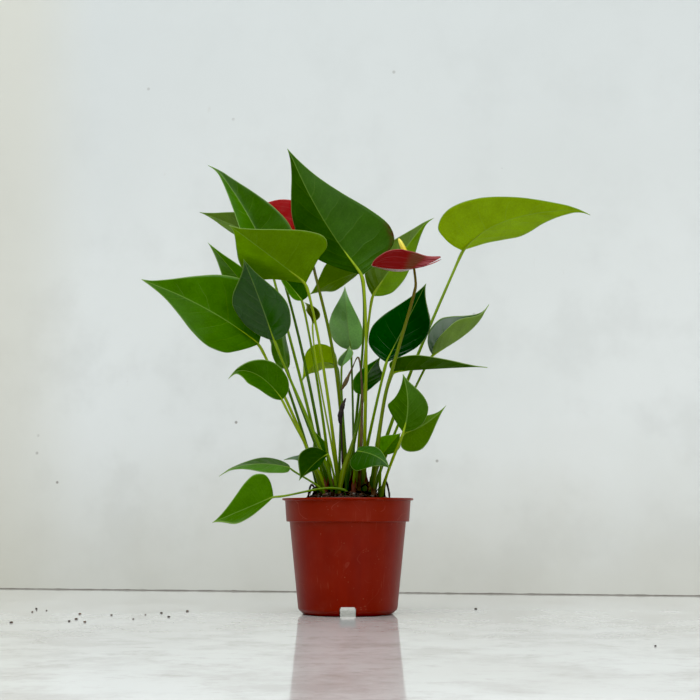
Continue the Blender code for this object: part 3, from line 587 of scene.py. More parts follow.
def sheet_part(blade, finish, thickness, ridge, puff, wave, hook=(0, 0, 0), phase=0.0):
    """The blade's closed sheet, with its ribs and puffed skin, and what its shader needs to know."""
    length = np.linalg.norm(blade.control - blade.base) + np.linalg.norm(blade.tip - blade.control)
    rows = int(np.clip(length / 0.0016, 34, 90))
    columns = 16
    share = np.linspace(0, 1, rows)
    across = np.linspace(-1, 1, 2 * columns + 1)
    across = np.sign(across) * np.abs(across) ** 1.3
    outline = along_curve(blade.edge, share)
    start = along_curve(np.array(midrib_rows)[:, None], share)
    reach_out = np.maximum(outline[:, 1:], 0)
    forward = start + (outline[:, :1] - start) * np.abs(across)
    middle = blade.surface(forward, reach_out * across)
    bend = np.clip((start - 0.86) / 0.14, 0, 1)[..., None] ** 2
    middle = middle + bend * np.array(hook) * MM
    step_on, step_out = np.gradient(middle, axis=0), np.gradient(middle, axis=1)
    normal = unit(np.cross(step_on, step_out))
    normal[0], normal[-1] = normal[1, columns], normal[-2, columns]
    if (normal[rows // 3, columns] * blade.up).sum() < 0:
        normal = -normal
    apart = np.abs(across)[None, :]
    half_width = np.where(across > 0, abs(blade.halves[0, 0]), abs(blade.halves[1, 0]))[None, :]
    from_rib = apart * reach_out * half_width / MM
    from_edge = (1 - apart) * reach_out * half_width / MM
    vein_place = (side_veins * share)[:, None] - vein_sweep * apart**vein_bow
    vein_off = vein_place - np.floor(vein_place) - 0.5
    vein = np.exp(-((vein_off / 0.10) ** 2)) * np.clip(1 - apart, 0, 1) ** 0.5 * np.clip(from_rib / 2, 0, 1)
    rib = np.exp(-((from_rib / (1.0 - 0.55 * start)) ** 2)) * (1 - 0.75 * start)
    swell = puff * np.cos(math.tau * vein_off) * -np.sin(math.pi * apart)
    swell = swell * np.sin(math.pi * np.clip(share, 0, 1))[:, None]
    ripple = np.sin(math.tau * (2.4 * share[:, None] + phase) + 1.9 * (across > 0))
    ripple = wave * ripple * apart**3 * np.sin(math.pi * share)[:, None]
    middle = middle + ((swell + ripple) * MM)[..., None] * normal
    half = 0.5 * thickness * (1 - 0.45 * apart**8)
    top = middle + (half - (0.18 * rib + 0.10 * vein) * ridge * MM)[..., None] * normal
    under = middle - (half + (0.62 * rib + 0.16 * vein) * ridge * MM)[..., None] * normal
    count = rows * (2 * columns + 1)
    index = np.arange(count).reshape(rows, -1)
    index[0], index[-1] = index[0, columns], index[-1, columns]
    faces = []
    for r in range(rows - 1):
        for c in range(2 * columns):
            ring = (index[r, c], index[r + 1, c], index[r + 1, c + 1], index[r, c + 1])
            ring = [int(i) for i in dict.fromkeys(ring)]
            if len(ring) > 2:
                faces.append(ring)
                faces.append([i + count for i in reversed(ring)])
        for c in (0, 2 * columns):
            a, b = int(index[r, c]), int(index[r + 1, c])
            ring = [a, b, b + count, a + count]
            faces.append(ring if c else ring[::-1])
    flat = np.broadcast_to(share[:, None], from_rib.shape)
    uv = np.stack([flat, np.broadcast_to(0.5 + 0.5 * across[None, :], flat.shape)], -1).reshape(-1, 2)
    skin = []
    for side in (0.0, 1.0):
        spots = np.stack([from_rib, from_edge, np.full(from_rib.shape, side)], -1)
        skin.append(spots.reshape(-1, 3))
    points = np.concatenate([top.reshape(-1, 3), under.reshape(-1, 3)])
    return points, faces, finish, np.concatenate([uv, uv]), np.concatenate(skin)


def stalk_part(path, radii, finish, sides=16):
    """A closed round stalk along a path, with how far along it and round it each point lies."""
    path, radii = np.asarray(path), np.asarray(radii)
    ahead = unit(np.gradient(path, axis=0))
    across = np.array((1.0, 0.0, 0.0))
    rings = []
    turns = np.arange(sides) * math.tau / sides
    for centre, forward, radius in zip(path, ahead, radii):
        across = unit(across - (across @ forward) * forward)
        other = np.cross(forward, across)
        rings.append(centre + radius * (np.cos(turns)[:, None] * across + np.sin(turns)[:, None] * other))
    faces = []
    for r in range(len(path) - 1):
        for k in range(sides):
            n = (k + 1) % sides
            faces.append([r * sides + k, r * sides + n, (r + 1) * sides + n, (r + 1) * sides + k])
    faces += [list(range(sides)), list(range((len(path) - 1) * sides, len(path) * sides))]
    gone = np.concatenate([[0], np.cumsum(np.linalg.norm(np.diff(path, axis=0), axis=1))])
    uv = np.stack([np.repeat(gone / gone[-1], sides), np.tile(turns / math.tau, len(path))], -1)
    to_end = np.repeat((gone[-1] - gone) / MM, sides)
    from_foot = np.repeat(gone / MM, sides)
    skin = np.stack([to_end, from_foot, np.zeros(len(uv))], -1)
    return np.concatenate(rings), faces, finish, uv, skin


def grown_piece(name, parts, materials, slot, *nodes):
    """One piece of the plant from its parts, in place of its CAD nodes."""
    points, faces, finishes, uvs, skins, base = [], [], [], [], [], 0
    for spots, rings, finish, uv, skin in parts:
        points.append(spots)
        faces += [[i + base for i in ring] for ring in rings]
        finishes += [finish] * len(rings)
        uvs.append(uv)
        skins.append(skin)
        base += len(spots)
    uvs, skins = np.concatenate(uvs), np.concatenate(skins)
    mesh = bpy.data.meshes.new(name)
    mesh.from_pydata(np.concatenate(points).tolist(), [], faces)
    for material in materials:
        mesh.materials.append(material)
    mesh.polygons.foreach_set("material_index", finishes)
    corners = np.empty(len(mesh.loops), int)
    mesh.loops.foreach_get("vertex_index", corners)
    mesh.uv_layers.new(name="growth").uv.foreach_set("vector", uvs[corners].astype(np.float32).ravel())
    skin_layer = mesh.attributes.new("skin", "FLOAT_VECTOR", "POINT")
    skin_layer.data.foreach_set("vector", skins.astype(np.float32).ravel())
    tidy = bmesh.new()
    tidy.from_mesh(mesh)
    bmesh.ops.delete(tidy, geom=[v for v in tidy.verts if not v.link_faces], context="VERTS")
    bmesh.ops.recalc_face_normals(tidy, faces=tidy.faces)
    tidy.to_mesh(mesh)
    tidy.free()
    mesh.shade_smooth()
    piece = bpy.data.objects.new(name, mesh)
    bpy.context.scene.collection.objects.link(piece)
    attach(piece, "root")
    if nodes:
        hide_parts(*nodes)
    return piece


def growth_of(tree):
    """How far along its piece a point lies, and how far across or round it, both as shares."""
    growth = add_node(tree, "UVMap", uv_map="growth").outputs[0]
    return add_node(tree, "SeparateXYZ", {0: growth}).outputs


def skin_of(tree):
    """The two distances along the skin in millimetres, and which face it is: 0 above, 1 below."""
    skin = add_node(tree, "Attribute", attribute_name="skin").outputs["Vector"]
    return add_node(tree, "SeparateXYZ", {0: skin}).outputs


# Leaf tissue: a darker glossy face above and a paler matt one below, pale ribs, a thin pale rim, and the
# mottling of living tissue; painted light and shade also make one half of a blade lighter and the other
# darker.
leaf_group, leaf_in, leaf_out = shader_group(
    "Leaf tissue",
    (("Upper", "Color", (0.02, 0.10, 0.006, 1)), ("Under", "Color", (0.07, 0.2, 0.01, 1)),
     ("Rib", "Color", (0.28, 0.42, 0.07, 1)), ("Veins", "Float", 0.4), ("Rim", "Float", 0.5),
     ("Left half shading", "Float", 1.0), ("Right half shading", "Float", 1.0), ("Lobes", "Float", 1.0),
     ("Stain", "Float", 0.0), ("Upper roughness", "Float", 0.3), ("Under roughness", "Float", 0.5)),
    (("Colour", "Color"), ("Glow", "Color"), ("Roughness", "Float"), ("Height", "Float")),
)
tree = leaf_group
growth = growth_of(tree)
skin = skin_of(tree)
leaf_place = add_node(tree, "TexCoord").outputs["Object"]
side_share = maths(tree, "ABSOLUTE", maths(tree, "MULTIPLY_ADD", growth[1], 2.0, -1.0))
wander = maths(tree, "MULTIPLY_ADD", speckle(tree, leaf_place, 50, 1), 0.34, -0.17)
vein_place = maths(tree, "MULTIPLY", maths(tree, "POWER", side_share, vein_bow), -vein_sweep)
vein_place = maths(tree, "ADD", maths(tree, "MULTIPLY_ADD", growth[0], side_veins, vein_place), wander)
vein_off = maths(tree, "ABSOLUTE", maths(tree, "SUBTRACT", maths(tree, "FRACT", vein_place), 0.5))
vein_line = mask(tree, vein_off, maths(tree, "MULTIPLY_ADD", side_share, -0.02, 0.050), 0.0)
vein_line = maths(tree, "MULTIPLY", vein_line, mask(tree, side_share, 1.0, 0.55))
small_place = maths(tree, "FRACT", maths(tree, "MULTIPLY", vein_place, 3.0))
small_off = maths(tree, "ABSOLUTE", maths(tree, "SUBTRACT", small_place, 0.5))
small_line = maths(tree, "MULTIPLY", mask(tree, small_off, 0.14, 0.0), mask(tree, side_share, 0.95, 0.4))
net_line = mask(tree, speckle(tree, leaf_place, 380, 1), 0.52, 0.62)
rib_line = mask(tree, skin[0], maths(tree, "MULTIPLY_ADD", growth[0], -0.75, 1.15), 0.15)
rim_line = mask(tree, skin[1], 0.85, 0.15)
body = blend(tree, skin[2], leaf_in["Upper"], leaf_in["Under"])
# Painted light and shade: one half of the blade lighter and the other darker, as its fold turns it to or from
# the light.
half_shading_feeds = {
    "Value": growth[1], "From Min": 0.49, "From Max": 0.51,
    "To Min": leaf_in["Right half shading"], "To Max": leaf_in["Left half shading"],
}
half = add_node(tree, "MapRange", half_shading_feeds).outputs[0]
lobe_feeds = {
    "Value": growth[0], "From Min": 0.50, "From Max": 0.15, "To Min": 1.0, "To Max": leaf_in["Lobes"],
}
lobes = add_node(tree, "MapRange", lobe_feeds).outputs[0]
mottle = maths(tree, "MULTIPLY_ADD", speckle(tree, leaf_place, 60, 2), 0.55, 0.72)
fine_mottle = maths(tree, "MULTIPLY_ADD", speckle(tree, leaf_place, 700, 0), 0.30, 0.85)
mottle = maths(tree, "MULTIPLY", mottle, fine_mottle)
tone = maths(tree, "MULTIPLY", maths(tree, "MULTIPLY", half, lobes), mottle)
tone_colour = add_node(tree, "CombineXYZ", {0: tone, 1: tone, 2: tone}).outputs[0]
body = blend(tree, 1.0, body, tone_colour, "MULTIPLY")
vein_share = maths(tree, "MULTIPLY_ADD", small_line, 0.35, vein_line)
vein_share = maths(tree, "MULTIPLY", vein_share, leaf_in["Veins"])
net_share = maths(tree, "MULTIPLY", leaf_in["Veins"], 0.25)
vein_share = maths(tree, "MULTIPLY_ADD", net_line, net_share, vein_share)
vein_share = maths(tree, "MULTIPLY", vein_share, 0.42)
body = blend(tree, vein_share, body, leaf_in["Rib"])
body = blend(tree, maths(tree, "MULTIPLY", rib_line, 0.75), body, leaf_in["Rib"])
body = blend(tree, maths(tree, "MULTIPLY", rim_line, leaf_in["Rim"]), body, (0.34, 0.50, 0.14, 1))
stain_spot = maths(tree, "MULTIPLY", mask(tree, skin[1], 7.0, 1.0), mask(tree, growth[0], 0.50, 0.40))
stain_spot = maths(tree, "MULTIPLY", stain_spot, mask(tree, growth[0], 0.20, 0.30))
stain_spot = maths(tree, "MULTIPLY", stain_spot, mask(tree, growth[1], 0.4, 0.6))
stain_spot = maths(tree, "MULTIPLY", stain_spot, mask(tree, speckle(tree, leaf_place, 260, 3), 0.3, 0.6))
body = blend(tree, maths(tree, "MULTIPLY", stain_spot, leaf_in["Stain"]), body, (0.085, 0.030, 0.012, 1))
tree.links.new(body, leaf_out["Colour"])
tree.links.new(blend(tree, 1.0, body, (1.0, 0.95, 0.35, 1), "MULTIPLY"), leaf_out["Glow"])
rough_feeds = {"Value": skin[2], "To Min": leaf_in["Upper roughness"], "To Max": leaf_in["Under roughness"]}
rough = add_node(tree, "MapRange", rough_feeds).outputs[0]
rough = maths(tree, "SUBTRACT", rough, 0.08)
rough = maths(tree, "MULTIPLY_ADD", speckle(tree, leaf_place, 45, 1), 0.16, rough)
tree.links.new(rough, leaf_out["Roughness"])
ribs_height = maths(tree, "MULTIPLY_ADD", small_line, 0.35, vein_line)
ribs_height = maths(tree, "MULTIPLY", ribs_height, maths(tree, "MULTIPLY_ADD", skin[2], 2.0, -1.0))
grain = maths(tree, "MULTIPLY", speckle(tree, leaf_place, 1500, 0), 0.5)
tree.links.new(maths(tree, "ADD", ribs_height, grain), leaf_out["Height"])


# Four colours make every blade: old growth, fresh growth, painted light for the light that a blade lets
# through to its lower face, and a pale painted sheen of reflected light on some. The young leaf is bronze
# instead.
old_green = (0.005, 0.055, 0.005)
fresh_green = (0.12, 0.30, 0.007)
painted_backlight_green = (0.34, 0.52, 0.012)
painted_sheen_green = (0.55, 1.0, 0.40)
young_bronze = ((0.06, 0.08, 0.006), (0.10, 0.10, 0.015))
rib_green = (0.26, 0.42, 0.08)


def shade_between(first, second, share):
    """The colour that lies a given share of the way from the first to the second."""
    return tuple(a + (b - a) * share for a, b in zip(first, second))


def leaf_faces(fresh, through, painted_sheen=0.0):
    """A blade's upper and lower colour."""
    upper = shade_between(old_green, fresh_green, fresh)
    # Painted light: the lower face paled towards yellow-green for the light that shows through it.
    under = shade_between(upper, painted_backlight_green, through)
    # Painted reflection: both faces paled towards a grey-green sheen of reflected light.
    return shade_between(upper, painted_sheen_green, painted_sheen), shade_between(under, painted_sheen_green, painted_sheen)


def leaf_material(name, faces, lean, veins, rim, gloss, shine, lobes=1.0, stain=0.0):
    """One leaf's tissue. Light comes through a blade, so some of it is let pass."""
    made, tree, shader = new_material("leaf tissue " + name, IOR=1.45)
    shader.inputs["Specular IOR Level"].default_value = shine
    upper, under = faces
    # The lean paints one half of the blade lighter and the other darker: painted light and shade.
    feeds = {
        "Upper": (*upper, 1), "Under": (*under, 1), "Rib": (*shade_between(under, rib_green, 0.55), 1),
        "Veins": veins, "Rim": rim, "Left half shading": 1 + lean, "Right half shading": 1 - lean, "Lobes": lobes,
        "Stain": stain, "Upper roughness": gloss, "Under roughness": gloss + 0.12,
    }
    skin = place_group(tree, leaf_group, feeds)
    bumped = wear_skin(tree, skin, shader, 0.35, 0.0003)
    through = add_node(tree, "BsdfTranslucent", {"Color": skin.outputs["Glow"], "Normal": bumped})
    mixed = add_node(tree, "MixShader", {0: 0.30, 1: shader.outputs[0], 2: through.outputs[0]})
    tree.links.new(mixed.outputs[0], tree.nodes["Material Output"].inputs["Surface"])
    return made

# Stalk tissue: yellow-green and finely streaked, greener towards the foot and paler at the joint.
stalk_group, stalk_in, stalk_out = shader_group(
    "Stalk tissue",
    (("Foot", "Color", (0.06, 0.14, 0.01, 1)), ("Middle", "Color", (0.15, 0.28, 0.015, 1)),
     ("Neck", "Color", (0.22, 0.37, 0.03, 1)), ("Blush", "Color", (0.2, 0.08, 0.03, 1)),
     ("Blush amount", "Float", 0.0)),
    (("Colour", "Color"), ("Roughness", "Float"), ("Height", "Float")),
)
tree = stalk_group
growth = growth_of(tree)
stalk_place = add_node(tree, "TexCoord").outputs["Object"]
fibres = speckle(tree, stretched(tree, stalk_place, 1, 1, 0.05), 2600, 3)
patches = speckle(tree, stretched(tree, stalk_place, 1, 1, 0.3), 170, 3)
colour = blend(tree, mask(tree, growth[0], 0.0, 0.35), stalk_in["Foot"], stalk_in["Middle"])
colour = blend(tree, mask(tree, growth[0], 0.55, 0.95), colour, stalk_in["Neck"])
fibre_shade = maths(tree, "MULTIPLY_ADD", fibres, 0.7, 0.65)
shade = maths(tree, "MULTIPLY", fibre_shade, maths(tree, "MULTIPLY_ADD", patches, 0.6, 0.7))
shade_colour = add_node(tree, "CombineXYZ", {0: shade, 1: shade, 2: shade}).outputs[0]
colour = blend(tree, 1.0, colour, shade_colour, "MULTIPLY")
blush = maths(tree, "MULTIPLY", stalk_in["Blush amount"], mask(tree, patches, 0.3, 0.65))
tree.links.new(blend(tree, blush, colour, stalk_in["Blush"]), stalk_out["Colour"])
tree.links.new(maths(tree, "MULTIPLY_ADD", patches, 0.2, 0.32), stalk_out["Roughness"])
tree.links.new(fibres, stalk_out["Height"])


def stalk_material(name, foot, middle, neck, blush=(0.2, 0.08, 0.03), blushed=0.0):
    """A stalk's tissue, from its foot to its neck."""
    made, tree, shader = new_material("stalk tissue " + name, IOR=1.45)
    shader.inputs["Specular IOR Level"].default_value = 0.3
    feeds = {
        "Foot": (*foot, 1), "Middle": (*middle, 1), "Neck": (*neck, 1),
        "Blush": (*blush, 1), "Blush amount": blushed,
    }
    wear_skin(tree, place_group(tree, stalk_group, feeds), shader, 0.25, 0.0003)
    return made


# The leaf stalks' tissue and a lighter and a darker copy of it: painted light and painted shade for stalks in
# the light and in the others' shade.
stalk_green = stalk_material("leaf", (0.050, 0.105, 0.003), (0.125, 0.225, 0.004), (0.21, 0.32, 0.010))
stalk_painted_light = stalk_material("leaf in painted light", (0.085, 0.145, 0.004), (0.20, 0.29, 0.006), (0.25, 0.36, 0.012))
stalk_painted_shade = stalk_material("leaf in painted shade", (0.028, 0.065, 0.003), (0.050, 0.115, 0.003), (0.10, 0.19, 0.006))

# Each leaf's own tissue: how fresh its growth is, how much painted light stands for the light that shows
# through to its lower face, and how much painted sheen of reflected light it has; which half is painted
# lighter as painted light and shade (the left above 0, the right below it); how plain its veins and its pale
# rim are; and how matt its upper face is.
leaf_tissues = {
    "far_left": (leaf_faces(0.45, 0.10), -0.10, 0.30, 0.6, 0.34),
    "behind_left": (leaf_faces(0.60, 0.05), -0.30, 0.25, 0.5, 0.34),
    "tall_left": (leaf_faces(0.40, 0.10), 0.20, 0.30, 0.5, 0.32),
    "high_back_left": (leaf_faces(0.50, 0.35), -0.20, 0.25, 0.5, 0.34),
    "glossy_left": (leaf_faces(0.15, 0.05), -0.20, 0.25, 0.4, 0.26),
    "bright_front": (leaf_faces(0.65, 0.30), -0.20, 0.25, 0.7, 0.36),
    "tallest": (leaf_faces(0.15, 0.05), 0.05, 0.30, 0.5, 0.36),
    "under_tallest": (leaf_faces(0.40, 0.35), 0.05, 0.35, 0.5, 0.32),
    "behind_flower": (leaf_faces(0.50, 0.30), 0.40, 0.30, 0.5, 0.34),
    "far_right": (leaf_faces(0.70, 0.95), 0.05, 0.40, 0.7, 0.38),
    "dark_right": (leaf_faces(0.0, 0.05), 0.10, 0.15, 0.4, 0.28),
    "side_right": (leaf_faces(0.05, 0.40, 0.03), -0.15, 0.30, 0.7, 0.32),
    "flat_right": (leaf_faces(0.10, 0.10), 0.0, 0.25, 0.8, 0.32),
    "round_right": (leaf_faces(0.25, 0.05), 0.0, 0.45, 0.5, 0.36),
    "low_right": (leaf_faces(0.35, 0.15), 0.0, 0.40, 0.6, 0.36),
    "pale_middle": (leaf_faces(0.70, 0.0, 0.35), -0.15, 0.30, 0.5, 0.30),
    "small_oval": (leaf_faces(0.25, 0.0, 0.20), -0.30, 0.30, 0.8, 0.30),
    "back_middle": (leaf_faces(0.90, 1.0), 0.10, 0.30, 0.5, 0.32),
    "dark_middle": (leaf_faces(0.15, 0.05), 0.35, 0.25, 0.4, 0.30),
    "lower_left": (leaf_faces(0.40, 0.05), -0.05, 0.35, 0.6, 0.34),
    "edge_on_left": (leaf_faces(0.50, 0.05), 0.0, 0.30, 0.4, 0.30),
    "young": (young_bronze, 0.0, 0.20, 0.3, 0.34),
    "low_left": (leaf_faces(0.45, 0.10), 0.30, 0.45, 0.5, 0.32),
    "over_rim": (leaf_faces(0.60, 0.05), -0.15, 0.35, 0.6, 0.34),
    "base_left": (leaf_faces(0.10, 0.05), -0.20, 0.30, 0.5, 0.32),
    "base_inner": (leaf_faces(0.50, 0.05), 0.0, 0.25, 0.4, 0.34),
    "base_front": (leaf_faces(0.20, 0.05), 0.15, 0.25, 0.5, 0.36),
    "base_right": (leaf_faces(1.0, 0.10), 0.40, 0.25, 0.5, 0.32),
    "base_back_left": (leaf_faces(0.05, 0.0, 0.10), 0.0, 0.20, 0.4, 0.32),
    "under_bright": (leaf_faces(0.45, 0.05), 0.20, 0.25, 0.4, 0.32),
}
# How far, in millimetres, a blade puffs up between its veins and its edge waves.
blade_puff = 0.16
calm_edge = 0.45
wavy_edge = 0.7
wavy_leaves = ("far_right", "tallest", "bright_front")
wave_shift = 0.37
# How much darker the pale middle leaf's lobes are, and how much brown stain the tallest leaf has.
lobe_shading = {"pale_middle": 0.6}
edge_stains = {"tallest": 0.9}
wet_shine = 0.6
plain_shine = 0.2
# Leaves with a wet-looking shine; those whose stalks are painted lighter as painted light; and those whose
# stalks stand in the others' shade and are painted darker as painted shade.
polished_leaves = ("glossy_left", "dark_right", "side_right", "pale_middle", "small_oval", "edge_on_left",
                   "low_left", "base_back_left", "high_back_left")
painted_light_stalks = ("tallest", "bright_front", "far_left", "round_right", "behind_flower", "lower_left", "young")
painted_shade_stalks = ("pale_middle", "small_oval", "back_middle", "dark_middle", "edge_on_left", "base_inner",
                 "behind_left", "under_tallest", "base_back_left", "high_back_left")

for number, (name, foot, *spots, curl, lobe, girth) in enumerate(leaves):
    edge = [(forward + back * lobe, out) for forward, out, back in leaf_edge]
    blade = Blade(spots, curl, edge)
    rib, ahead, normal = blade.rib(0.0)
    foot_spot = placed((*foot, 0)) + np.array((0, 0, mix_height(foot[0] * MM, foot[1] * MM)))
    rising = unit(blade.base - placed((*foot, soil_edge / MM)))
    arrive = unit(0.8 * rising + 0.2 * ahead)
    neck_radius, foot_radius = stalk_neck * girth, stalk_foot * girth
    neck = blade.base - normal * neck_radius * neck_drop
    start = foot_spot + np.array((0, 0, stalk_start))
    reach = np.linalg.norm(neck - start)
    leave = unit(unit(neck - start) + np.array((0, 0, 0.5)))
    first, second = start + leave * reach * stalk_leave, neck - arrive * reach * stalk_arrive
    t = np.linspace(0, 1, 44)[:, None]
    sweep = (1 - t) ** 3 * start + 3 * t * (1 - t) ** 2 * first + 3 * t * t * (1 - t) * second + t**3 * neck
    on_rib = np.array((0.03, 0.07, 0.11, 0.16, 0.22, 0.28))
    rib_share = np.array((0.95, 0.80, 0.66, 0.50, 0.34, 0.18))
    ribs, _, ups = blade.rib(on_rib)
    under_rib = ribs - ups * (neck_radius * neck_drop * rib_share)[:, None]
    path = np.concatenate([[start - np.array((0, 0, stalk_sink + stalk_start))], sweep, under_rib])
    for _ in range(3):
        path[38:-1] = (path[37:-2] + 2 * path[38:-1] + path[39:]) / 4
    gone = np.concatenate([[0], np.cumsum(np.linalg.norm(np.diff(sweep, axis=0), axis=1))])
    taper = foot_radius + (neck_radius - foot_radius) * (gone / gone[-1]) ** 0.6
    swelling = 1 + 0.30 * np.exp(-(((gone[-1] - gone - 0.4 * joint_length) / (0.6 * joint_length)) ** 2))
    flare = 0.86 + 0.30 * np.exp(-gone / 0.012)
    radii = np.concatenate([[foot_radius * 1.2], taper * swelling * flare, neck_radius * rib_share])
    wave = wavy_edge if name in wavy_leaves else calm_edge
    hook = tip_hooks.get(name, (0, 0, 0))
    sheet = sheet_part(blade, 0, blade_thickness, girth, blade_puff, wave, hook, wave_shift * number)
    stalk = stalk_part(path, radii, 1)
    shine = wet_shine if name in polished_leaves else plain_shine
    own = (lobe_shading.get(name, 1.0), edge_stains.get(name, 0.0))
    tissue = leaf_material(name, *leaf_tissues[name], shine, *own)
    # Stalks in the others' shade take the copy with painted shade, and those in the light take the copy with
    # painted light.
    stalk_finish = stalk_painted_shade if name in painted_shade_stalks else stalk_green
    if name in painted_light_stalks:
        stalk_finish = stalk_painted_light
    grown_piece("anthurium_leaf_" + name, (sheet, stalk), (tissue, stalk_finish), "leaf", "leaf_" + name)

# ---- Flowers ----
# A flower is a wax-glossy heart-shaped spathe on a long round stem, with a spike of tiny florets
# standing in it. The spathe's two lobes roll together behind the stem into a pointed cone.
spathe_edge = (
    (0.0, 0.0, 0.0), (-0.36, 0.08, 0.0), (-0.74, 0.12, 0.0), (-0.40, 0.45, 0.0), (-0.12, 0.80, 0.0),
    (0.10, 0.95, 0.0), (widest, 1.0, 0.0), (0.62, 0.82, 0.0), (0.90, 0.36, 0.0), (1.0, 0.0, 0.0),
)
solid_spathe = 0.0008
spadix_radius = 0.0026
spadix_place = 0.08
spadix_foot = 0.45
floret_rows = 30

# Each flower: name, foot in the mix, the stem's path, the spathe's five places as for a leaf, its
# curl, the spadix's end and how far its foot stands off the rib, and the stem's radius.
flowers = (
    (
        "front", (23, -20),
        ((27, -26, 150), (33, -36, 192), (41, -42, 222), (48, -44, 246), (56, -45, 273), (62, -45, 296)),
        ((61, -46, 310), (42, -50, 308.5), (21, -54, 311), (46, -66, 323), (45, -33, 309)), -20,
        (46, -42, 337.5), 0.78, 1.6,
    ),
    (
        "back", (-3, 22),
        ((-4, 25, 150), (-10, 29, 215), (-18, 28, 262), (-27, 27, 300), (-34, 40, 330), (-40, 60, 364)),
        ((-41, 64, 373), (-64, 62, 380), (-89, 58, 386), (-56, 47, 355), (-49, 74, 398)), -15,
        (-50, 52, 397), 0.42, 1.5,
    ),
)

spathe_wax, tree, shader = new_material("spathe wax", IOR=1.5)
shader.inputs["Specular IOR Level"].default_value = 0.22
shader.inputs["Coat Weight"].default_value = 0.04
shader.inputs["Coat Roughness"].default_value = 0.08
growth = growth_of(tree)
skin = skin_of(tree)
spathe_place = add_node(tree, "TexCoord").outputs["Object"]
side_share = maths(tree, "ABSOLUTE", maths(tree, "MULTIPLY_ADD", growth[1], 2.0, -1.0))
streak_place = {0: maths(tree, "MULTIPLY", growth[0], 1.5), 1: maths(tree, "MULTIPLY", growth[1], 22.0)}
along = add_node(tree, "CombineXYZ", streak_place).outputs[0]
streaks = speckle(tree, along, 1.6, 3)
red = blend(tree, skin[2], (0.26, 0.0012, 0.0016, 1), (0.21, 0.0020, 0.0022, 1))
streak_share = maths(tree, "MULTIPLY", skin[2], 0.40)
pale_streaks = maths(tree, "MULTIPLY", mask(tree, streaks, 0.52, 0.70), streak_share)
red = blend(tree, pale_streaks, red, (0.36, 0.05, 0.05, 1))
red = laid_over(tree, red, mask(tree, skin[0], 1.4, 0.2), 0.30, (0.34, 0.03, 0.03))
green_part = maths(tree, "MULTIPLY", mask(tree, growth[0], 0.56, 0.44), mask(tree, growth[0], 0.30, 0.38))
green_share = maths(tree, "MULTIPLY", green_part, maths(tree, "MULTIPLY_ADD", skin[2], 0.55, 0.1))
red = blend(tree, green_share, red, (0.11, 0.055, 0.018, 1))
cone = mask(tree, growth[0], 0.36, 0.28)
cone_seams = mask(tree, speckle(tree, along, 1.1, 2), 0.50, 0.62)
cone_red = blend(tree, cone_seams, (0.42, 0.09, 0.10, 1), (0.16, 0.004, 0.008, 1))
red = blend(tree, cone, red, cone_red)
red = laid_over(tree, red, mask(tree, skin[1], 0.9, 0.2), 0.65, (0.50, 0.12, 0.12))
red = blend(tree, mask(tree, growth[0], 0.965, 0.995), red, (0.66, 0.42, 0.30, 1))
tree.links.new(red, shader.inputs["Base Color"])
tree.links.new(maths(tree, "MULTIPLY_ADD", streaks, 0.2, 0.16), shader.inputs["Roughness"])
spathe_height = maths(tree, "MULTIPLY_ADD", speckle(tree, spathe_place, 500, 2), 0.3, streaks)
spathe_bump = add_node(tree, "Bump", {"Height": spathe_height, "Strength": 0.4, "Distance": 0.0004})
tree.links.new(spathe_bump.outputs[0], shader.inputs["Normal"])

floret_yellow, tree, shader = new_material("spadix florets")
growth = growth_of(tree)
skin = skin_of(tree)
floret_place = add_node(tree, "TexCoord").outputs["Object"]
yellow = blend(tree, mask(tree, growth[0], 0.0, 0.35), (0.42, 0.46, 0.02, 1), (0.78, 0.62, 0.012, 1))
yellow = blend(tree, mask(tree, growth[0], 0.55, 0.95), yellow, (0.88, 0.80, 0.10, 1))
# Painted shade: darker in the hollows between the florets.
yellow = blend(tree, mask(tree, skin[2], 0.45, 0.05), yellow, (0.40, 0.30, 0.01, 1))
floret_spots = mask(tree, speckle(tree, floret_place, 1800, 2), 0.45, 0.7)
yellow = laid_over(tree, yellow, floret_spots, 0.3, (0.95, 0.90, 0.30))
tree.links.new(yellow, shader.inputs["Base Color"])
floret_rough = maths(tree, "MULTIPLY_ADD", speckle(tree, floret_place, 900, 2), 0.2, 0.42)
tree.links.new(floret_rough, shader.inputs["Roughness"])
floret_height = speckle(tree, floret_place, 2600, 2)
floret_bump = add_node(tree, "Bump", {"Height": floret_height, "Strength": 0.3, "Distance": 0.0002})
tree.links.new(floret_bump.outputs[0], shader.inputs["Normal"])

flower_stalk = stalk_material(
    "flower", (0.05, 0.11, 0.004), (0.11, 0.19, 0.005), (0.09, 0.075, 0.006), (0.13, 0.05, 0.01), 0.22
)


def risen_path(foot, points, steps):
    """Out of the mix and smoothly through the given points."""
    ground = mix_height(foot[0] * MM, foot[1] * MM) / MM
    stations = np.array([(*foot, ground - 12), (*foot, ground + 3)] + [list(p) for p in points], float)
    spots = along_curve(stations, np.linspace(0, 1, steps + 1))
    return np.array([placed(spot) for spot in spots])


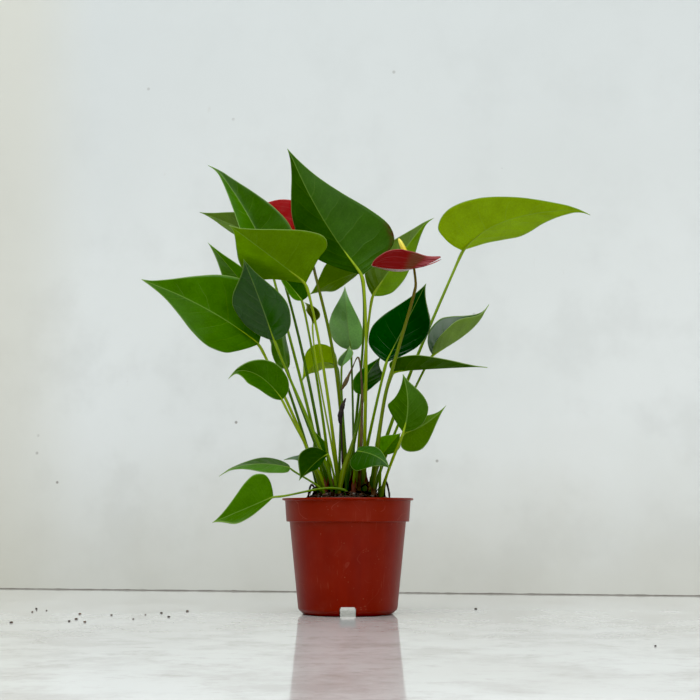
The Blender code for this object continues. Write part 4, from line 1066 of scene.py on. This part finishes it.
def spadix_part(foot, end, rings=84, sides=44):
    """The spike: a blunt taper closely set with florets in a spiral."""
    axis = unit(end - foot)
    across = unit(np.cross(axis, (0, 0, 1)))
    other = np.cross(axis, across)
    turns = np.arange(sides) * math.tau / sides
    points, uv, skin = [], [], []
    for share in np.linspace(0, 1, rings):
        taper = (0.82 + 0.5 * share - 0.55 * share**2) * math.sqrt(max(1 - share**8, 0.0))
        taper *= min(1.0, spadix_foot + 6 * share)
        spiral = share * floret_rows
        floret = 0.5 + 0.5 * np.cos(5 * turns + math.pi * spiral) * np.cos(math.pi * spiral)
        radius = spadix_radius * taper + 0.00026 * (floret - 0.6) * min(1, 4 * taper)
        ring = radius[:, None] * (np.cos(turns)[:, None] * across + np.sin(turns)[:, None] * other)
        spots = foot + (end - foot) * share + ring
        points.append(spots)
        uv.append(np.stack([np.full(sides, share), turns / math.tau], -1))
        skin.append(np.stack([np.zeros(sides), np.zeros(sides), floret], -1))
    faces = []
    for r in range(rings - 1):
        for k in range(sides):
            n = (k + 1) % sides
            faces.append([r * sides + k, r * sides + n, (r + 1) * sides + n, (r + 1) * sides + k])
    faces += [list(range(sides)), list(range((rings - 1) * sides, rings * sides))]
    return np.concatenate(points), faces, 0, np.concatenate(uv), np.concatenate(skin)


for name, foot, points, spots, curl, spadix_end, seat, radius in flowers:
    blade = Blade(spots, curl, [point[:2] for point in spathe_edge])
    neck, _, normal = blade.rib(0.04)
    path = np.concatenate([risen_path(foot, points, 90), [neck - normal * 0.0003]])
    for _ in range(3):
        path[-8:-1] = (path[-9:-2] + 2 * path[-8:-1] + np.concatenate([path[-7:-1], path[-1:]])) / 4
    gone = np.linspace(0, 1, len(path))
    radii = radius * MM * (1.15 - 0.30 * gone) * (1 + 0.25 * np.exp(-gone / 0.03))
    radii[-6:] *= np.linspace(1.0, 0.8, 6)
    sheet = sheet_part(blade, 0, blade_thickness, 0.5, 0.12, 0.35, phase=0.2)
    stem = stalk_part(path, radii, 1)
    finishes = (spathe_wax, flower_stalk)
    grown_piece("flower_and_stem_" + name, (sheet, stem), finishes, "spathe", "flower_" + name)
    rib, _, up = blade.rib(spadix_place)
    end = placed(spadix_end)
    lean = math.sqrt(max(1 - float(unit(end - rib) @ up) ** 2, 0))
    spike_foot = rib + up * (solid_spathe / 2 + seat * MM + spadix_radius * spadix_foot * lean)
    spike = spadix_part(spike_foot, end)
    grown_piece("spadix_spike_" + name, (spike,), (floret_yellow,), "spadix", "spadix_" + name)

# ---- Dead and half-grown stems ----
# An old flower stem that has bent over and shrivelled, and a young leaf that dried before it
# opened. Both are brown papery tissue over a stringy core, still rooted in their places.
dry_group, dry_in, dry_out = shader_group(
    "Dry tissue",
    (("Light", "Color", (0.20, 0.11, 0.05, 1)), ("Dark", "Color", (0.035, 0.015, 0.008, 1)),
     ("Darkness", "Float", 0.5)),
    (("Colour", "Color"), ("Roughness", "Float"), ("Height", "Float")),
)
dry_place = add_node(dry_group, "TexCoord").outputs["Object"]
wrinkles = speckle(dry_group, stretched(dry_group, dry_place, 1, 1, 0.12), 1500, 4, 0.65)
dry_patches = speckle(dry_group, dry_place, 150, 3)
dry_blotches = maths(dry_group, "MULTIPLY", mask(dry_group, dry_patches, 0.4, 0.65), dry_in["Darkness"])
dry_share = maths(dry_group, "MULTIPLY_ADD", mask(dry_group, wrinkles, 0.62, 0.4), 0.5, dry_blotches)
dry_group.links.new(blend(dry_group, dry_share, dry_in["Light"], dry_in["Dark"]), dry_out["Colour"])
dry_group.links.new(maths(dry_group, "MULTIPLY_ADD", wrinkles, 0.25, 0.6), dry_out["Roughness"])
dry_group.links.new(wrinkles, dry_out["Height"])


def dry_material(name, light, dark, darkness):
    """Papery dead tissue."""
    made, tree, shader = new_material(name)
    feeds = {"Light": (*light, 1), "Dark": (*dark, 1), "Darkness": darkness}
    wear_skin(tree, place_group(tree, dry_group, feeds), shader, 0.8, 0.0005)
    return made


dry_brown = dry_material("dry brown tissue", (0.16, 0.085, 0.035), (0.035, 0.016, 0.008), 0.6)
dry_black = dry_material("withered black tissue", (0.030, 0.014, 0.010), (0.008, 0.004, 0.004), 0.6)
dry_straw = dry_material("straw sheath", (0.26, 0.18, 0.07), (0.11, 0.055, 0.02), 0.4)
dry_umber = dry_material("shrivelled stem", (0.115, 0.080, 0.020), (0.045, 0.022, 0.010), 0.7)
dry_rust = dry_material("rust-red sheath", (0.16, 0.045, 0.022), (0.05, 0.012, 0.008), 0.5)

stems = (
    ("old_flower", (10, -13),
     ((12, -17, 150), (13, -20, 200), (10, -19, 231), (4, -18, 222), (-2, -17, 209), (-6, -17, 202)),
     (1.8, 1.4, 1.0, 0.8, 0.6, 1.9, 0.7), dry_umber),
    ("withered_leaf", (-3.5, -21),
     ((-5, -22, 140), (-6, -22, 167), (-7, -22, 176), (-5, -22, 186), (-2, -22, 194)),
     (1.0, 0.9, 0.9, 2.2, 2.0, 0.6), dry_black),
)
for name, foot, points, radii, finish in stems:
    path = risen_path(foot, points, 60)
    sizes = along_curve(np.array((radii[0], *radii))[:, None], np.linspace(0, 1, 61))[:, 0]
    shrunk = 1 + 0.10 * np.sin(np.linspace(0, 46, 61)) + 0.06 * np.sin(np.linspace(0, 101, 61))
    part = stalk_part(path, np.maximum(sizes * shrunk, 0.25) * MM, 0)
    grown_piece("dead_stem_" + name, (part,), (finish,), "dry_sheath", name)

# ---- Crowns and their sheaths ----
# The stalks rise from three short crowns. Each is wrapped in the pointed papery sheaths of leaves
# that have gone, which split and spread as new stalks push up between them.
crowns = (
    ("crown_middle", (-1, -2), 22, 4.0, 7),
    ("crown_right", (17, 1), 18, 3.5, 6),
    ("crown_back", (0, 16), 18, 3.2, 5),
)
sheath_chance = random.Random(5)


def sheath_part(foot, height, radius, turn, width, spread, finish, rows=16, columns=6):
    """One pointed sheath: a thin curved scale, wide at its foot and drawn to a point that leans out."""
    points, uv = [], []
    for depth in (0.0, 0.0003):
        for u in np.linspace(0, 1, rows):
            half = width * (1 - u**1.8) * (0.85 + 0.35 * math.sin(math.pi * u))
            out = radius * (1 + spread * u**2) - depth
            for v in np.linspace(-1, 1, 2 * columns + 1):
                angle = turn + half * v
                lip = 0.0006 * abs(v) ** 2 * u
                x = foot[0] + (out + lip) * math.cos(angle)
                y = foot[1] + (out + lip) * math.sin(angle)
                points.append((x, y, foot[2] + height * u))
                uv.append((u, 0.5 + 0.5 * v))
    wide = 2 * columns + 1
    count = rows * wide
    faces = []
    for r in range(rows - 1):
        for c in range(wide - 1):
            ring = [r * wide + c, r * wide + c + 1, (r + 1) * wide + c + 1, (r + 1) * wide + c]
            faces.append(ring)
            faces.append([i + count for i in reversed(ring)])
        for c in (0, wide - 1):
            ring = [r * wide + c, (r + 1) * wide + c, (r + 1) * wide + c + count, r * wide + c + count]
            faces.append(ring if c else ring[::-1])
    for r in (0, rows - 1):
        for c in range(wide - 1):
            ring = [r * wide + c, r * wide + c + 1, r * wide + c + 1 + count, r * wide + c + count]
            faces.append(ring if r == 0 else ring[::-1])
    return np.array(points), faces, finish, np.array(uv), np.zeros((len(points), 3))


for name, (x, y), height, radius, sheaths in crowns:
    ground = mix_height(x * MM, y * MM)
    core_levels = [ground - 0.004 + z * MM for z in np.linspace(0, 0.85 * height + 4, 14)]
    core = [placed((x, y, 0)) + np.array((0, 0, level)) for level in core_levels]
    core_radii = radius * MM * np.concatenate([np.linspace(1.05, 0.85, 8), np.linspace(0.8, 0.1, 6)])
    parts = [stalk_part(core, core_radii, 0)]
    for k in range(sheaths):
        turn = math.tau * (k + 0.6 * sheath_chance.random()) / sheaths
        foot_spot = placed((x, y, 0)) + np.array((0, 0, ground - 0.002))
        tall = height * MM * sheath_chance.uniform(0.55, 0.98)
        out = radius * MM * sheath_chance.uniform(0.95, 1.25)
        width = sheath_chance.uniform(0.35, 0.7)
        spread = sheath_chance.uniform(0.05, 0.5)
        parts.append(sheath_part(foot_spot, tall, out, turn, width, spread, 1 + k % 2))
    grown_piece("sheathed_" + name, parts, (dry_brown, dry_rust, dry_straw), "dry_sheath", name)

# A broad new sheath stands at the front, still fleshy, with its foot blushed red. Papery bracts hug
# the feet of the outer stalks, some rust red and some straw.
young_sheath = stalk_material(
    "new sheath", (0.085, 0.020, 0.006), (0.105, 0.150, 0.004), (0.070, 0.125, 0.003)
)
sheath_route = ((-8, -25, 96), (-7, -26, 112), (-4, -25, 128), (2, -24, 146), (7, -22, 163))
sheath_shares = np.linspace(0, 1, 40)
sheath_spots = along_curve(np.array(sheath_route, float), sheath_shares)
sheath_path = np.array([placed(spot) for spot in sheath_spots])
sheath_girth = along_curve(np.array([1.5, 2.0, 2.5, 1.8, 0.8])[:, None], sheath_shares)[:, 0] * MM
new_sheath = stalk_part(sheath_path, sheath_girth, 0, 20)
grown_piece("new_front_sheath", (new_sheath,), (young_sheath,), "dry_sheath")

# Each bract pair: its stalk's foot in the mix (x, y), and its finish below.
bract_feet = (
    (-13, -14, 0), (-8, -8, 0), (15, -8, 1), (5, -21, 1),
    (11, -2, 0), (23, -20, 0), (-20, -12, 1), (21, -12, 2),
)
bract_radius = 0.0021
bract_width = 0.75
bracts = []
for x, y, finish in bract_feet:
    ground = mix_height(x * MM, y * MM)
    for side in (-1.9, -0.9):
        spot = placed((x, y, 0)) + np.array((0, 0, ground - 0.002))
        tall = sheath_chance.uniform(0.010, 0.020)
        spread = sheath_chance.uniform(0.15, 0.6)
        bracts.append(sheath_part(spot, tall, bract_radius, side, bract_width, spread, finish, 12, 4))
grown_piece("foot_bracts", bracts, (dry_brown, dry_rust, dry_straw), "dry_sheath")

# ---- Aerial roots ----
# Two thick roots have arched out of the mix and gone back into it. They are dark, matt and warty,
# and the mix clings to them.
roots = (
    ("aerial_root_left", (-36, -9), (-29, -14), 12),
    ("aerial_root_right", (33, 5), (38, -3), 14),
)
root_radius = 0.0009
root_skin = peat_material("root skin", (0.016, 0.009, 0.006), (0.09, 0.045, 0.025), 0.5, 900)
for name, one, other, height in roots:
    a, b = ((*spot, mix_height(spot[0] * MM, spot[1] * MM) / MM) for spot in (one, other))
    stations = np.array((
        (a[0], a[1], a[2] - 12), (a[0], a[1], a[2] + 1),
        (0.62 * a[0] + 0.38 * b[0], 0.62 * a[1] + 0.38 * b[1], a[2] + height),
        (0.1 * a[0] + 0.9 * b[0], 0.1 * a[1] + 0.9 * b[1], b[2] + 0.55 * height),
        (b[0], b[1], b[2] + 1), (b[0], b[1], b[2] - 12),
    ))
    path = np.array([placed(spot) for spot in along_curve(stations, np.linspace(0, 1, 61))])
    warts = 1 + 0.12 * np.sin(np.linspace(0, 60, 61)) * np.sin(np.linspace(0, 23, 61))
    part = stalk_part(path, root_radius * warts, 0, 12)
    grown_piece("root_" + name, (part,), (root_skin,), "root", name)

# Finer roots curl over the mix between the stalks.
root_chance = random.Random(9)
threads = []
for number in range(34):
    turn = root_chance.uniform(0, math.tau)
    far = root_chance.uniform(0.25, 0.62) * mix_radius / MM
    a = np.array((far * math.cos(turn), far * math.sin(turn)))
    b = a + np.array((root_chance.uniform(-13, 13), root_chance.uniform(-9, 9)))
    b *= min(1.0, 0.72 * mix_radius / MM / np.linalg.norm(b))
    rise = root_chance.uniform(2, 10)
    stations = []
    for share, up in ((0, -3), (0.05, 0.25), (0.35, 0.9), (0.65, 1.0), (0.95, 0.3), (1, -3)):
        x, y = a + (b - a) * share + np.array((root_chance.uniform(-2, 2), root_chance.uniform(-2, 2)))
        lift = up * rise if up > 0 else up
        stations.append((x, y, mix_height(x * MM, y * MM) / MM + lift))
    path = np.array([placed(spot) for spot in along_curve(np.array(stations), np.linspace(0, 1, 31))])
    threads.append(stalk_part(path, np.full(31, root_chance.uniform(0.00030, 0.00062)), 0, 8))
grown_piece("fine_roots", threads, (root_skin,), "root")

# ---- Floor, wall and light ----
# The pot stands on polished pale stone in front of a painted wall, in soft daylight from a large
# window above. None of it is part of the object.
wall_gap = 0.35
floor_mesh = bmesh.new()
bmesh.ops.create_grid(floor_mesh, x_segments=1, y_segments=1, size=4.0)
floor_stone, tree, shader = new_material("polished pale stone", IOR=1.5)
floor_place = add_node(tree, "TexCoord").outputs["Object"]
drift = speckle(tree, floor_place, 4, 3)
clouds = speckle(tree, stretched(tree, floor_place, 0.9, 0.8, 1), 13, 7, 0.68)
threads = speckle(tree, stretched(tree, floor_place, 0.7, 0.8, 1), 40, 6, 0.74)
stone = blend(tree, mask(tree, drift, 0.35, 0.7), (0.74, 0.75, 0.745, 1), (0.66, 0.66, 0.645, 1))
stone = laid_over(tree, stone, mask(tree, clouds, 0.44, 0.64), 0.62, (0.49, 0.475, 0.455))
stone = laid_over(tree, stone, mask(tree, threads, 0.52, 0.66), 0.42, (0.43, 0.405, 0.38))
# Painted shade: the floor darker towards the wall.
far_floor_shade = mask(tree, add_node(tree, "SeparateXYZ", {0: floor_place}).outputs[1], -0.02, 0.30)
stone = laid_over(tree, stone, far_floor_shade, 0.45, (0.52, 0.515, 0.485))
tree.links.new(stone, shader.inputs["Base Color"])
shader.inputs["Roughness"].default_value = 0.07
floor = piece_from("stone_floor", floor_mesh, (floor_stone,))
floor.location = (0, 0, pot_low.z - 0.0002)

spilt = bmesh.new()
spill_chance = random.Random(21)
spill_spots = [(spill_chance.uniform(-0.34, -0.17), spill_chance.uniform(-0.13, 0.07)) for _ in range(17)]
for x, y in spill_spots + [(0.188, -0.335), (0.02, 0.02), (0.10, 0.05)]:
    size = spill_chance.uniform(0.0006, 0.0012)
    crumb = bmesh.ops.create_icosphere(spilt, subdivisions=2, radius=size)["verts"]
    for v in crumb:
        v.co = Vector((v.co.x * 1.3, v.co.y, v.co.z * 0.7)) + Vector((x, y, pot_low.z + 0.0003))
spilt_mix = piece_from("spilt_mix", spilt, (bark,), 180)

wall_mesh = bmesh.new()
corners = [wall_mesh.verts.new(spot) for spot in ((-4, 0, -0.01), (4, 0, -0.01), (4, 0, 4), (-4, 0, 4))]
wall_mesh.faces.new(corners)
wall_paint, tree, shader = new_material("painted wall")
wall_place = add_node(tree, "TexCoord").outputs["Object"]
wall_at = add_node(tree, "SeparateXYZ", {0: wall_place}).outputs
paint_drift = mask(tree, speckle(tree, wall_place, 2.6, 3), 0.35, 0.68)
paint = blend(tree, paint_drift, (0.775, 0.80, 0.795, 1), (0.72, 0.745, 0.735, 1))
paint_clouds = mask(tree, speckle(tree, wall_place, 9, 4, 0.6), 0.45, 0.68)
paint = laid_over(tree, paint, paint_clouds, 0.60, (0.66, 0.68, 0.67))
# Painted shade: the wall darker towards the top, where less light reaches it.
paint = laid_over(tree, paint, mask(tree, wall_at[2], 0.10, 0.80), 0.85, (0.545, 0.575, 0.575))
# Darker and warmer along the foot of the wall: partly stains and partly painted shadow near the pot.
low_stain_and_shadow = maths(tree, "MULTIPLY_ADD", speckle(tree, wall_place, 6, 4), 0.16, wall_at[2])
paint = laid_over(tree, paint, mask(tree, low_stain_and_shadow, 0.30, 0.05), 0.66, (0.585, 0.575, 0.505))
paint = laid_over(tree, paint, mask(tree, wall_at[0], -0.33, -0.46), 0.60, (0.60, 0.585, 0.50))
scuffs = mask(tree, speckle(tree, stretched(tree, wall_place, 1, 1, 0.35), 42, 5, 0.7), 0.66, 0.76)
paint = laid_over(tree, paint, scuffs, 0.34, (0.50, 0.49, 0.46))
fly_cell = add_node(tree, "TexVoronoi", {"Vector": wall_place, "Scale": 26.0}).outputs["Distance"]
fly_where = mask(tree, speckle(tree, wall_place, 7, 1), 0.52, 0.60)
fly_specks = maths(tree, "MULTIPLY", mask(tree, fly_cell, 0.065, 0.035), fly_where)
paint = laid_over(tree, paint, fly_specks, 0.7, (0.16, 0.14, 0.12))
joint_level = maths(tree, "MULTIPLY_ADD", speckle(tree, wall_place, 60, 3), -0.0020, wall_at[2])
joint = mask(tree, joint_level, 0.0003, -0.0003)
paint = laid_over(tree, paint, joint, 0.80, (0.13, 0.11, 0.09))
tree.links.new(paint, shader.inputs["Base Color"])
shader.inputs["Roughness"].default_value = 0.8
clear = add_node(tree, "BsdfTransparent")
back = add_node(tree, "NewGeometry").outputs["Backfacing"]
one_sided = add_node(tree, "MixShader", {0: back, 1: shader.outputs[0], 2: clear.outputs[0]})
tree.links.new(one_sided.outputs[0], tree.nodes["Material Output"].inputs["Surface"])
wall = bpy.data.objects.new("painted_wall", bpy.data.meshes.new("painted_wall"))
wall_mesh.to_mesh(wall.data)
wall_mesh.free()
wall.data.materials.append(wall_paint)
bpy.context.scene.collection.objects.link(wall)
wall.location = (0, axis_y + wall_gap, 0)
wall.rotation_euler = (0, 0, math.radians(-11))
wall.visible_shadow = False


def lamp(name, spot, aim, size, power, colour):
    """A large soft square light aimed at a point."""
    light = bpy.data.lights.new(name, "AREA")
    light.shape = "SQUARE"
    light.size = size
    light.energy = power
    light.color = colour
    made = bpy.data.objects.new(name, light)
    bpy.context.scene.collection.objects.link(made)
    made.location = spot
    made.rotation_euler = (Vector(aim) - Vector(spot)).to_track_quat("-Z", "Y").to_euler()


lamp("window_above", (-0.5, -0.9, 2.3), (0, 0.1, 0.2), 1.6, 42, (0.97, 1.0, 1.0))
lamp("room_front", (1.2, -2.2, 1.2), (0, 0, 0.2), 1.5, 14, (1.0, 0.97, 0.93))
sky = bpy.data.worlds.new("room light")
sky.use_nodes = True
tree = sky.node_tree
upward = add_node(tree, "SeparateXYZ", {0: add_node(tree, "TexCoord").outputs["Generated"]}).outputs[2]
mirrored = maths(tree, "MULTIPLY_ADD", mask(tree, upward, 0.35, 0.95), 0.30, 0.06)
seen_in_gloss = add_node(tree, "LightPath").outputs["Is Glossy Ray"]
light_level = add_node(tree, "Mix", {0: seen_in_gloss, 2: 0.58, 3: mirrored}).outputs[0]
tree.nodes["Background"].inputs["Color"].default_value = (0.95, 0.98, 1.0, 1)
tree.links.new(light_level, tree.nodes["Background"].inputs["Strength"])
bpy.context.scene.world = sky
bpy.context.scene.view_settings.view_transform = "Standard"
bpy.context.scene.view_settings.use_curve_mapping = True
bpy.context.scene.view_settings.curve_mapping.black_level = (0.010, 0.010, 0.010)
bpy.context.scene.view_settings.curve_mapping.update()
bpy.context.scene.cycles.max_bounces = 6
bpy.context.scene.cycles.diffuse_bounces = 3
bpy.context.scene.cycles.glossy_bounces = 3

camera = bpy.data.objects.new("camera", bpy.data.cameras.new("camera"))
bpy.context.scene.collection.objects.link(camera)
camera.data.sensor_width = 36
camera.data.lens = 72.6
camera.location = (axis_x + 0.002, axis_y - 1.3, 0.088)
camera.rotation_euler = (math.radians(90 + 6.7), 0, 0)
bpy.context.scene.camera = camera
